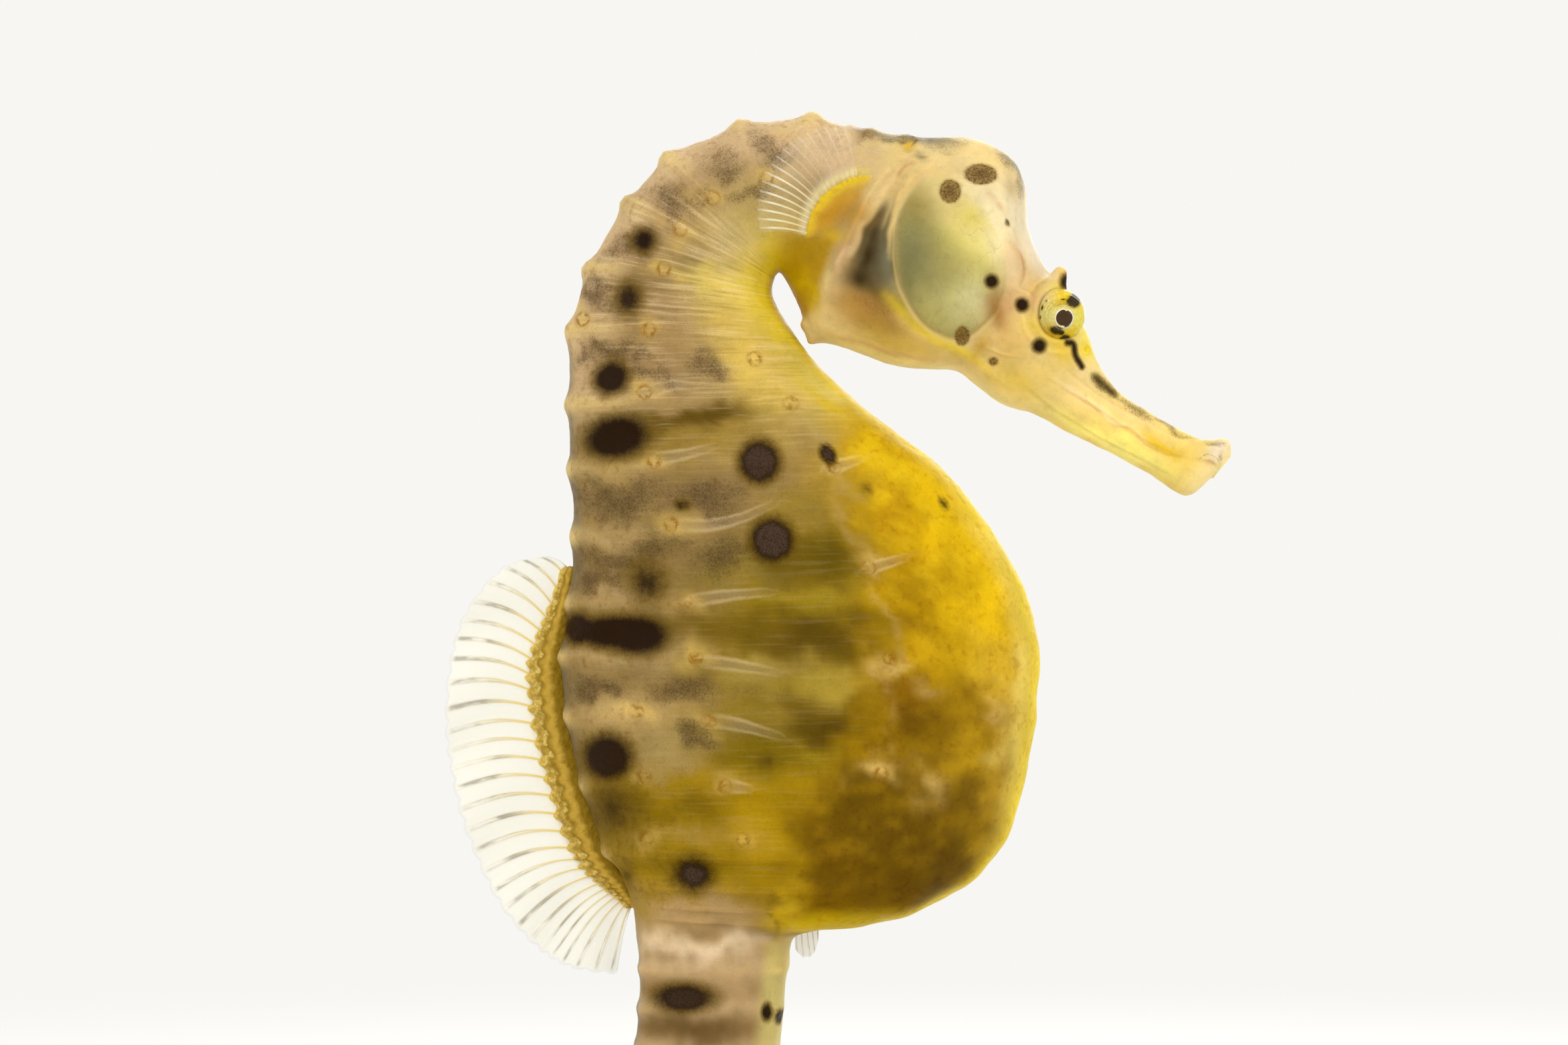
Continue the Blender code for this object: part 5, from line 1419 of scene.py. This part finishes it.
def skin_finish():
    """Thin wet skin: washes of colour, pigment cells, muscle fibres and dark spots."""
    made, tree, shader = finish_named("skin")
    place = millimetres(tree)
    fibres, speckled = stored(tree, "fibres"), stored(tree, "speckled")
    lie = add(tree, "ShaderNodeCombineXYZ",
              {"X": times(tree, stored(tree, "along"), 3.4),
               "Y": times(tree, stored(tree, "across"), 0.22)}).outputs[0]
    clouds = noise(tree, place, 0.28, 5.0, 0.6)
    mottle = noise(tree, place, 1.5, 5.0, 0.65)
    fine = noise(tree, place, 7.0, 3.0, 0.6)
    curds = noise(tree, place, 1.1, 6.0, 0.72)
    strands = noise(tree, lie, 1.0, 3.0, 0.55)
    cells = add(tree, "ShaderNodeTexVoronoi", {"Vector": place, "Scale": 3.6}).outputs["Distance"]

    shade = plus(tree, times(tree, clouds, 0.34), times(tree, mottle, 0.30))
    colour = mixed(tree, 1.0, stored(tree, "tint", "Color"),
                   graded(tree, shade, 0.18, 0.46, 0.80, 1.18), "MULTIPLY")
    blotch = times(tree, graded(tree, mottle, 0.44, 0.74, 0.0, 0.55), speckled)
    colour = toned(tree, blotch, colour, paint(176, 150, 130))
    curd = times(tree, graded(tree, curds, 0.50, 0.74, 0.0, 0.36), speckled)
    colour = toned(tree, curd, colour, (1.35, 1.35, 2.2, 1.0))
    strand = times(tree, graded(tree, strands, 0.50, 0.66, 0.0, 0.42), fibres)
    colour = mixed(tree, strand, colour, paint(232, 208, 160))
    thread = times(tree, graded(tree, strands, 0.46, 0.34, 0.0, 0.30), fibres)
    colour = mixed(tree, thread, colour, paint(104, 76, 44))
    dots = times(tree, graded(tree, cells, 0.20, 0.06, 0.0, 0.24),
                 times(tree, graded(tree, fine, 0.42, 0.62), stored(tree, "specked")))
    colour = mixed(tree, dots, colour, paint(92, 62, 26))

    # Ribs: a purplish heart between two pale lines, painted highlights along the rib's edges; a rusty ring
    # round a spine.
    wobble = strayed(tree, mottle, 0.28)
    off_rib = worked(tree, "ABSOLUTE", plus(tree, stored(tree, "rib_gap"), wobble))
    ribbed = stored(tree, "ribbed")
    within = times(tree, graded(tree, off_rib, 0.40, 0.10, 0.0, 0.46), ribbed)
    colour = mixed(tree, within, colour, paint(150, 132, 104))
    # Painted highlight along each edge of a rib.
    edge = times(tree, close_to(tree, off_rib, 0.36, 0.24, 0.0, 0.40), ribbed)
    colour = mixed(tree, edge, colour, paint(222, 202, 154))
    collar = plus(tree, stored(tree, "from_spine"), times(tree, wobble, 3.6))
    collar = times(tree, close_to(tree, collar, 0.50, 0.22, 0.02, 0.80),
                   graded(tree, mottle, 0.40, 0.58, 0.15, 1.0))
    colour = mixed(tree, collar, colour, paint(138, 96, 12))

    # Gill cover: a dark line round its free rim with a pale one outside, and veins.
    rim_gap, free_rim = stored(tree, "rim_gap"), stored(tree, "free_rim")
    dark_rim = times(tree, close_to(tree, rim_gap, -0.06, 0.36, 0.0, 0.34), free_rim)
    colour = mixed(tree, dark_rim, colour, paint(116, 100, 52))
    pale_rim = times(tree, close_to(tree, rim_gap, 0.34, 0.26, 0.0, 0.36), free_rim)
    colour = mixed(tree, pale_rim, colour, paint(216, 194, 122))
    vein = close_to(tree, noise(tree, place, 0.34, 3.0, 0.45), 0.5, 0.010, 0.0, 0.16)
    colour = mixed(tree, times(tree, vein, stored(tree, "veined")), colour, paint(104, 98, 62))

    # Pigment cells, sown thickly where the skin is smoky.
    pepper = stored(tree, "pepper")
    smoke = plus(tree, pepper, strayed(tree, mottle, 1.3))
    smoke = times(tree, graded(tree, smoke, 0.10, 0.90, 0.0, 0.54), graded(tree, pepper, 0.0, 0.3))
    colour = mixed(tree, smoke, colour, paint(84, 66, 34))
    grains = plus(tree, noise(tree, place, 8.0, 3.0, 0.6), times(tree, pepper, 0.16))
    grains = times(tree, graded(tree, grains, 0.52, 0.74, 0.0, 0.50), graded(tree, pepper, 0.0, 0.4))
    colour = mixed(tree, grains, colour, paint(60, 44, 22))

    # Faded spots of the head: thin brown pigment, denser round the edge.
    faded = plus(tree, stored(tree, "faded"), strayed(tree, fine, 0.24))
    colour = mixed(tree, graded(tree, faded, -0.20, 0.14, 0.0, 0.80), colour, paint(132, 98, 36))
    colour = mixed(tree, graded(tree, faded, 0.05, 0.60, 0.0, 0.62), colour, paint(84, 62, 32))
    border = close_to(tree, faded, 0.08, 0.14, 0.02, 0.40)
    colour = mixed(tree, border, colour, paint(92, 68, 16))
    cell = times(tree, graded(tree, faded, -0.04, 0.12), graded(tree, fine, 0.46, 0.62, 0.0, 0.70))
    colour = mixed(tree, cell, colour, paint(72, 50, 20))

    # Dark spots: ragged, with a brown halo, and some with a greyish heart.
    grey = stored(tree, "grey")
    ragged = plus(tree, strayed(tree, mottle, 0.30), strayed(tree, fine, 0.26))
    field = times(tree, plus(tree, stored(tree, "spot"), ragged),
                  plus(tree, 1.0, times(tree, grey, 0.35)))
    heart = times(tree, graded(tree, field, 0.28, 0.60), grey)
    heart = times(tree, heart, graded(tree, fine, 0.34, 0.60, 0.35, 0.85))
    colour = mixed(tree, graded(tree, field, -0.48, 0.10, 0.0, 0.72), colour, SPOT_HALO)
    colour = mixed(tree, graded(tree, field, -0.12, 0.46, 0.0, 0.97), colour, SPOT_CORE)
    colour = mixed(tree, heart, colour, SPOT_GREY)
    tree.links.new(colour, shader.inputs["Base Color"])

    let_light_in(shader, 0.55, (1.0, 0.62, 0.22), 1.0)
    shader.inputs["Specular IOR Level"].default_value = 0.04
    tree.links.new(graded(tree, mottle, 0.3, 0.7, 0.34, 0.52), shader.inputs["Roughness"])
    grain = plus(tree, times(tree, fine, 0.5), times(tree, strands, fibres))
    bumped(tree, shader, plus(tree, grain, times(tree, mottle, 0.8)), 0.55, 0.16)
    return made


FLESH = ["head", "snout", "mouth", "coronet", "gill_cover_left", "gill_cover_right", "neck",
         "trunk_upper", "trunk_middle", "trunk_lower", "belly", "tail_root", "tail_shaft",
         "tail_coil_lower", "tail_coil_outer", "tail_coil_middle", "tail_coil_inner",
         "tail_tip", "pectoral_base_left", "pectoral_base_right"]
settle(skin, "skin_whole", skin_finish(), FLESH)


# ==== Eyes =================================================================
# Each eye is a ball that stands out in a turret of its own yellow skin, with
# a small dark pupil in a silver ring under a clear wet cornea.  It is set in
# the orbit's folds from outside, and turned to look out and a little ahead.
EYE_AT = (18.15, 2.95, 111.95)
EYE_RADIUS = 1.92
GAZE = (0.13, 0.97, -0.17)
PUPIL_RADIUS = 0.60
# Folds of the turret: distance from the pupil's middle, width and rise.
EYE_FOLDS = ((1.16, 0.10, 0.045), (1.40, 0.08, 0.035), (1.64, 0.10, 0.050), (1.92, 0.12, 0.060))
EYE_PATCHES = [                 # place in X and Z, half sizes, lean, darkness
    ((19.12, 112.88), (0.52, 0.46), 20, 1.1), ((19.42, 113.30), (0.36, 0.46), 40, 1.0),
    ((17.85, 110.72), (0.48, 0.28), -12, 1.1), ((18.20, 110.56), (0.30, 0.22), 0, 0.9),
    ((18.52, 110.12), (0.40, 0.28), 12, 1.1), ((16.80, 112.40), (0.14, 0.38), -12, 0.55),
    ((16.66, 111.70), (0.12, 0.30), 0, 0.50), ((17.10, 112.90), (0.16, 0.20), 0, 0.45),
    ((18.35, 113.00), (0.40, 0.16), 8, 0.45)]


def eye_finish():
    """Painted turret, pupil and ring under one clear wet coat."""
    made, tree, shader = finish_named("eye")
    away = stored(tree, "from_pupil")
    fine = noise(tree, millimetres(tree), 6.0, 4.0, 0.6)
    rings = add(tree, "ShaderNodeCombineXYZ", {"X": times(tree, away, 9.0)}).outputs[0]
    folds = noise(tree, rings, 1.0, 2.0)
    colour = mixed(tree, 1.0, stored(tree, "tint", "Color"),
                   graded(tree, fine, 0.30, 0.70, 0.82, 1.12), "MULTIPLY")
    darker = times(tree, graded(tree, folds, 0.48, 0.66, 0.0, 0.30),
                   graded(tree, away, PUPIL_RADIUS + 0.5, PUPIL_RADIUS + 0.7))
    colour = toned(tree, darker, colour, paint(168, 140, 70))
    ragged = plus(tree, stored(tree, "spot"), strayed(tree, fine, 0.9))
    colour = mixed(tree, graded(tree, ragged, -0.40, 0.10, 0.0, 0.45), colour, paint(120, 92, 4))
    colour = mixed(tree, graded(tree, ragged, -0.12, 0.34, 0.0, 0.96), colour, paint(34, 22, 2))
    edge = plus(tree, away, times(tree, stored(tree, "notch"), 0.10))
    silver = graded(tree, edge, PUPIL_RADIUS + 0.10, PUPIL_RADIUS + 0.06)
    colour = mixed(tree, silver, colour, paint(228, 220, 198))
    line = close_to(tree, away, PUPIL_RADIUS + 0.36, 0.05, 0.01, 0.30)
    colour = mixed(tree, line, colour, paint(236, 228, 196))
    pupil = graded(tree, edge, PUPIL_RADIUS + 0.035, PUPIL_RADIUS - 0.01)
    colour = mixed(tree, pupil, colour, paint(60, 38, 2))
    tree.links.new(colour, shader.inputs["Base Color"])
    let_light_in(shader, 0.25, (1.0, 0.7, 0.25), 0.5)
    shader.inputs["Roughness"].default_value = 0.30
    shader.inputs["Specular IOR Level"].default_value = 0.10
    tree.links.new(graded(tree, away, 1.5, 0.8, 0.05, 0.30), shader.inputs["Coat Weight"])
    shader.inputs["Coat Roughness"].default_value = 0.06
    bumped(tree, shader, folds, 0.20, 0.05)
    return made


eye_paint = eye_finish()
for side, sign in (("right", -1.0), ("left", 1.0)):
    bpy.ops.object.select_all(action="DESELECT")
    bpy.ops.mesh.primitive_uv_sphere_add(segments=96, ring_count=90, radius=EYE_RADIUS * MM)
    eye = bpy.context.object
    ball = vertex_places(eye.data) / MM
    arc = np.arccos(np.clip(ball[:, 2] / EYE_RADIUS, -1.0, 1.0)) * EYE_RADIUS
    out = ball / np.linalg.norm(ball, axis=1)[:, None]
    swell = 0.10 * soft(arc, 1.05, 0.45) - 0.05 * hump(arc, 1.0, 0.10)
    for fold_at, fold_width, fold_rise in EYE_FOLDS:
        swell += fold_rise * hump(arc, fold_at, fold_width)
    ball += out * swell[:, None]
    gaze = Vector((GAZE[0], GAZE[1] * sign, GAZE[2])).normalized()
    turned = np.array(gaze.to_track_quat("Z", "X").to_matrix())
    ball = ball @ turned.T + np.array([EYE_AT[0], EYE_AT[1] * sign, EYE_AT[2]])
    put_vertices(eye.data, ball * MM)
    x, y, z = ball.T
    wx, wz = x, z               # no waver on so small a piece
    tint = coat((224, 204, 84))
    dab((244, 208, 16), 0.98, (18.3, 113.3), (1.8, 0.8), 4)
    dab((196, 160, 4), 0.85, (18.3, 112.65), (1.0, 0.34), 4)
    dab((242, 218, 160), 0.85, (17.0, 113.2), (0.8, 0.6), 30)
    dab((216, 204, 130), 0.85, (16.95, 111.7), (0.8, 1.2))
    dab((240, 226, 100), 0.80, (19.5, 111.4), (0.7, 1.4))
    dab((200, 160, 4), 0.85, (17.6, 110.5), (1.3, 0.5), -25)
    dab((232, 200, 24), 0.85, (18.9, 110.5), (0.8, 0.6), 20)
    wash((230, 218, 140), 0.65 * soft(arc, 1.05, 0.80))
    keep_tint(eye.data, SEEN_AS_PAINTED)
    spot = np.full(len(x), -1.0)
    for centre, radii, lean, darkness in EYE_PATCHES:
        off_middle = np.hypot(*in_ellipse(x, z, centre, radii, math.radians(lean)))
        spot = np.maximum(spot, darkness - off_middle)
    keep(eye.data, "spot", np.where(y * sign > EYE_AT[1], spot, -1.0))
    keep(eye.data, "from_pupil", arc)
    heading = np.arctan2(z - (EYE_AT[2] + GAZE[2] * EYE_RADIUS), x - (EYE_AT[0] + GAZE[0] * EYE_RADIUS))
    notch = hump(heading, 1.35, 0.16) + 0.5 * hump(heading, -1.75, 0.20)
    notch -= 1.1 * hump(heading, -1.4, 0.7) * (arc > PUPIL_RADIUS + 0.05)
    keep(eye.data, "notch", notch)
    bpy.ops.object.shade_smooth()
    settle(eye, "eyeball_" + side, eye_paint, ["eye_" + side])


# ==== Dorsal fin ===========================================================
# A fleshy strip along the back, soft and granular, with a yellow fringe where
# the fin's rays rise out of it, and the clear fin itself: one thin membrane
# over 28 rays that bow toward the head and bear streaks of grey pigment.
FIN_BASE_FROM = 4.4
FIN_BASE_TO = 11.55
FIN_BASE_RISE = 2.2
FIN_BASE_SINK = 0.75
FIN_BASE_HALF_WIDTH = 0.95
FIN_BASE_WELD = 0.003
FIN_WELD = 0.0005
FIN_EDGE = [(-14.9, 62.5), (-18.7, 63.2), (-21.2, 64.8), (-24.1, 68.4), (-26.1, 72.8), (-27.3, 77.2),
            (-27.8, 81.0), (-27.5, 86.0), (-26.3, 89.8), (-23.4, 93.2), (-20.2, 94.0)]
DORSAL_RAYS = 28
RAY_COLUMNS = 10                # columns of a sheet to each ray
RAY_WIDTH = 0.13                # as a share of the space between rays
RAY_FOOT = 0.75                 # where the rays spring, as a share of the strip's rise


def along_line(points, share):
    """Points at shares of a smooth line through the listed ones, in X and Z."""
    points = np.array(points, float)
    ends = np.vstack([points[:1], points, points[-1:]])
    place = np.clip(share, 0.0, 1.0) * (len(points) - 1)
    i = np.minimum(place.astype(int), len(points) - 2)
    t = (place - i)[:, None]
    return between(ends[i], ends[i + 1], ends[i + 2], ends[i + 3], t)


def back_edge(share, off):
    """Points off the back at shares of the dorsal fin's base, in X and Z."""
    row, _, across, _ = frame_of(TAIL_COUNT + FIN_BASE_FROM
                                 + (FIN_BASE_TO - FIN_BASE_FROM) * share)
    return row[:, 2:4] + across * np.broadcast_to(off, share.shape)[:, None]


def base_rise(share):
    """How far the strip stands off the back, low at its ends."""
    return FIN_BASE_RISE * np.minimum(1.0, np.minimum(3.2 * share + 0.12, 3.6 * (1 - share) + 0.12))


def fin_base_finish():
    """Granular yellow-brown flesh, dark along the back, with a bright fringe."""
    made, tree, shader = finish_named("fin_flesh")
    place = millimetres(tree)
    grains = noise(tree, place, 2.6, 5.0, 0.7)
    lumps = add(tree, "ShaderNodeTexVoronoi", {"Vector": place, "Scale": 2.3}).outputs["Distance"]
    reach = plus(tree, stored(tree, "up"), strayed(tree, grains, 0.22))
    cord = close_to(tree, reach, 0.52, 0.20, 0.02)
    colour = mixed(tree, cord, paint(140, 110, 22), paint(194, 158, 62))
    tufted = mixed(tree, graded(tree, grains, 0.42, 0.62), paint(178, 146, 58), paint(220, 192, 108))
    tufted = mixed(tree, graded(tree, lumps, 0.40, 0.66, 0.0, 0.45), tufted, paint(150, 118, 36))
    colour = mixed(tree, graded(tree, reach, 0.66, 0.76), colour, tufted)
    tall = plus(tree, reach, times(tree, stored(tree, "ray"), 0.10))
    colour = mixed(tree, graded(tree, tall, 0.92, 1.08, 0.0, 0.80), colour, paint(222, 194, 100))
    tree.links.new(colour, shader.inputs["Base Color"])
    let_light_in(shader, 0.3, (1.0, 0.62, 0.22), 0.6)
    shader.inputs["Specular IOR Level"].default_value = 0.05
    tree.links.new(graded(tree, grains, 0.3, 0.7, 0.38, 0.55), shader.inputs["Roughness"])
    bumped(tree, shader, worked(tree, "SUBTRACT", grains, times(tree, lumps, 0.9)), 0.8, 0.20)
    return made


strip = sheet(DORSAL_RAYS * RAY_COLUMNS, 28)
flat = vertex_places(strip.data)
share = (flat[:, 0] + 1) / 2
around = math.pi * (flat[:, 1] + 1)
ray = np.cos(math.pi * (share * DORSAL_RAYS - 0.5)) ** 2
ends = np.minimum(1.0, np.minimum(share, 1 - share) / 0.006) ** 0.5
rise = base_rise(share) * (0.84 + 0.20 * ray) + 0.3
up = (1 + np.cos(around)) / 2
reach = -FIN_BASE_SINK + (rise + FIN_BASE_SINK) * (0.5 + (up - 0.5) * ends)
half = FIN_BASE_HALF_WIDTH * (1 - 0.45 * up) * ends * np.sign(np.sin(around))
half *= np.abs(np.sin(around)) ** 0.7 * np.minimum(1.0, 0.35 + 0.65 * rise / FIN_BASE_RISE)
low = back_edge(share, reach)
put_vertices(strip.data, np.stack([low[:, 0], half, low[:, 1]], axis=1) * MM)
keep(strip.data, "up", up)
keep(strip.data, "ray", ray)
sewn(FIN_BASE_WELD)
lumpy(strip, size=0.55, rise=0.30)
settle(strip, "dorsal_fin_strip", fin_base_finish(), ["dorsal_fin_base"])


def fin_finish():
    """Clear membrane, creamy rays yellow at their roots, grey streaks further out."""
    made, tree, shader = finish_named("fin_clear")
    out, off_ray, clear = [stored(tree, name) for name in ("out", "off_ray", "clear")]
    lie = add(tree, "ShaderNodeCombineXYZ",
              {"X": times(tree, stored(tree, "number"), 1.9),
               "Y": times(tree, out, 2.6)}).outputs[0]
    streaks = noise(tree, lie, 1.0, 3.0, 0.6)
    fine = noise(tree, millimetres(tree), 3.0, 4.0)

    # Each ray splits outward into two pale lines, with grey pigment between them.
    twin = worked(tree, "SUBTRACT", off_ray, times(tree, out, 0.11))
    twin = graded(tree, worked(tree, "ABSOLUTE", twin), 0.08, 0.02)
    twin = times(tree, twin, graded(tree, out, 1.0, 0.55, 0.35, 1.0))
    colour = mixed(tree, graded(tree, out, 0.04, 0.75), paint(226, 196, 84), paint(224, 214, 178))
    colour = mixed(tree, twin, paint(238, 234, 216), colour)
    fringe = times(tree, graded(tree, out, 0.16, 0.0), graded(tree, fine, 0.40, 0.60, 0.4, 0.95))
    colour = mixed(tree, fringe, colour, paint(206, 170, 52))
    grey = times(tree, graded(tree, streaks, 0.40, 0.62), graded(tree, out, 0.30, 0.66))
    for share in (graded(tree, off_ray, 0.17, 0.04, 0.0, 0.78), graded(tree, out, 0.99, 0.92),
                  graded(tree, clear, 1.0, 0.0)):
        grey = times(tree, grey, share)
    colour = mixed(tree, grey, colour, paint(140, 134, 118))
    tree.links.new(colour, shader.inputs["Base Color"])

    # The membrane is the clearest part, and the pectoral fins are clearer still.
    bright = graded(tree, stored(tree, "faint"), 0.0, 1.0, 0.70, 0.14)
    clear_ray = times(tree, graded(tree, stored(tree, "ray"), 0.15, 0.8), times(tree, bright, clear))
    ray_solid = times(tree, twin, graded(tree, clear, 0.0, 1.0, 0.62, 0.0))
    solid = worked(tree, "MAXIMUM", graded(tree, clear, 0.0, 1.0, 0.34, 0.035), ray_solid)
    solid = worked(tree, "MAXIMUM", solid, clear_ray)
    solid = plus(tree, solid, graded(tree, out, 0.30, 0.0, 0.0, 0.35))
    solid = plus(tree, solid, times(tree, grey, 0.35))
    solid = times(tree, solid, graded(tree, out, 1.0, 0.95, 0.20, 1.0))
    tree.links.new(worked(tree, "MINIMUM", solid, 1.0), shader.inputs["Alpha"])
    shader.inputs["Roughness"].default_value = 0.35
    shader.inputs["Specular IOR Level"].default_value = 0.15
    return made


def fan(name, nodes, rays, root, edge, bow, thickness, wave, clear=0.0):
    """A fin as one closed envelope: a thin membrane with a ridge along each ray.

    root and edge give the fin's inner and outer lines at shares along it.
    """
    fin = sheet(rays * RAY_COLUMNS, 56)
    flat = vertex_places(fin.data)
    share, out = (flat[:, 0] + 1) / 2, 1 - np.abs(flat[:, 1])
    number = share * rays
    ray = hump(number % 1.0, 0.5, RAY_WIDTH)
    start, end = root(share), edge(share)
    reach = out * (1 - 0.035 * (1 - np.sin(math.pi * (number % 1.0))) * out)
    run = end - start
    length = np.linalg.norm(run, axis=1)
    middle = start + run * reach[:, None]
    middle += bow(share) * (length * np.sin(math.pi * out))[:, None]
    ripple = wave * np.sin(number * 1.15 + 2.0 * out) * out
    rims = np.minimum(1.0, np.minimum(np.minimum(share, 1 - share) / 0.004,
                                      np.minimum(out, 1 - out) / 0.02)) ** 0.5
    half = thickness * (0.22 + 0.78 * ray * (1 - 0.6 * out)) * rims
    middle[:, 1] += ripple + half * np.sign(flat[:, 1])
    put_vertices(fin.data, middle * MM)
    keep(fin.data, "out", out)
    keep(fin.data, "ray", ray)
    keep(fin.data, "off_ray", np.abs(number % 1.0 - 0.5))
    keep(fin.data, "number", number)
    keep(fin.data, "clear", np.full(len(out), clear))
    keep(fin.data, "faint", clear * np.maximum(soft(share, 0.36, 0.56), soft(out, 0.62, 1.0)))
    sewn(FIN_WELD)
    settle(fin, name, fin_clear, nodes)


def flat_points(points):
    """X and Z points as points of the middle plane."""
    return np.stack([points[:, 0], np.zeros(len(points)), points[:, 1]], axis=1)


fin_clear = fin_finish()
fan("dorsal_fin_clear", ["dorsal_fin"], DORSAL_RAYS,
    lambda share: flat_points(back_edge(share, RAY_FOOT * base_rise(share))),
    lambda share: flat_points(along_line(FIN_EDGE, share - 0.035 * np.sin(math.pi * share))),
    lambda share: np.stack([0.05 * share, 0 * share, 0.115 - 0.04 * share], axis=1),
    0.16, 0.35)


# ==== Pectoral and anal fins ===============================================
# A small fan behind each gill cover, its rays springing from the yellow pad
# of the shoulder and its free edge standing off the neck, and a tiny fin in
# the angle under the belly.
PECTORAL_REACH = 4.0
PECTORAL_FLARE = math.tan(math.radians(18))
PECTORAL_FROM = 177             # degrees round the shoulder, up from straight ahead
PECTORAL_SPREAD = 76
PECTORAL_ROOT = 4.45
PECTORAL_SINK = 0.25
PECTORAL_EDGE = 5.05
PECTORAL_STAND = 0.15
skin_places = vertex_places(skin.data) / MM


def skin_half_width(px, pz):
    """How far the skin near the shoulder stands off the middle plane at places in X and Z."""
    near = skin_places[(skin_places[:, 1] < 0) & (np.abs(skin_places[:, 0]) < 8.0)
                       & (skin_places[:, 2] > 114.0)]
    found = [near[np.argmin(np.hypot(near[:, 0] - a, near[:, 2] - b)), 1]
             for a, b in zip(px, pz)]
    return -np.array(found)


def round_shoulder(share, radius):
    """Places round the shoulder at a radius, in X and Z."""
    turn = np.radians(PECTORAL_FROM - PECTORAL_SPREAD * share)
    return SHOULDER[0] + radius * np.cos(turn), SHOULDER[1] + radius * np.sin(turn)


def pectoral_line(share, radius, stand, sign):
    """Points round the shoulder at a radius, standing off the skin."""
    px, pz = round_shoulder(share, radius)
    shares = np.linspace(0.0, 1.0, 25)
    width = np.interp(share, shares, skin_half_width(*round_shoulder(shares, 4.6)))
    return np.stack([px, sign * (width + stand), pz], axis=1)


for side, sign in (("right", -1.0), ("left", 1.0)):
    fan("pectoral_fin_clear_" + side, ["pectoral_fin_" + side], PECTORAL_RAYS,
        lambda share: pectoral_line(share, PECTORAL_ROOT, -PECTORAL_SINK, sign),
        lambda share: pectoral_line(
            share, PECTORAL_EDGE
            + PECTORAL_REACH * (0.55 + 0.5 * np.sin(math.pi * (0.15 + 0.65 * share))),
            PECTORAL_STAND + PECTORAL_REACH * PECTORAL_FLARE, sign),
        lambda share: np.full((len(share), 3), (0.02, 0.04 * sign, 0.04)),
        0.10, 0.06, clear=1.0)

ANAL_ROOT = [(-1.55, 66.5), (-0.7, 66.6), (0.3, 66.6)]
ANAL_EDGE = [(-1.5, 64.45), (-1.0, 63.9), (-0.35, 63.9), (0.05, 64.4), (0.3, 65.4)]
fan("anal_fin_clear", ["anal_fin"], 5,
    lambda share: flat_points(along_line(ANAL_ROOT, share)),
    lambda share: flat_points(along_line(ANAL_EDGE, share)),
    lambda share: np.zeros((len(share), 3)), 0.10, 0.05)
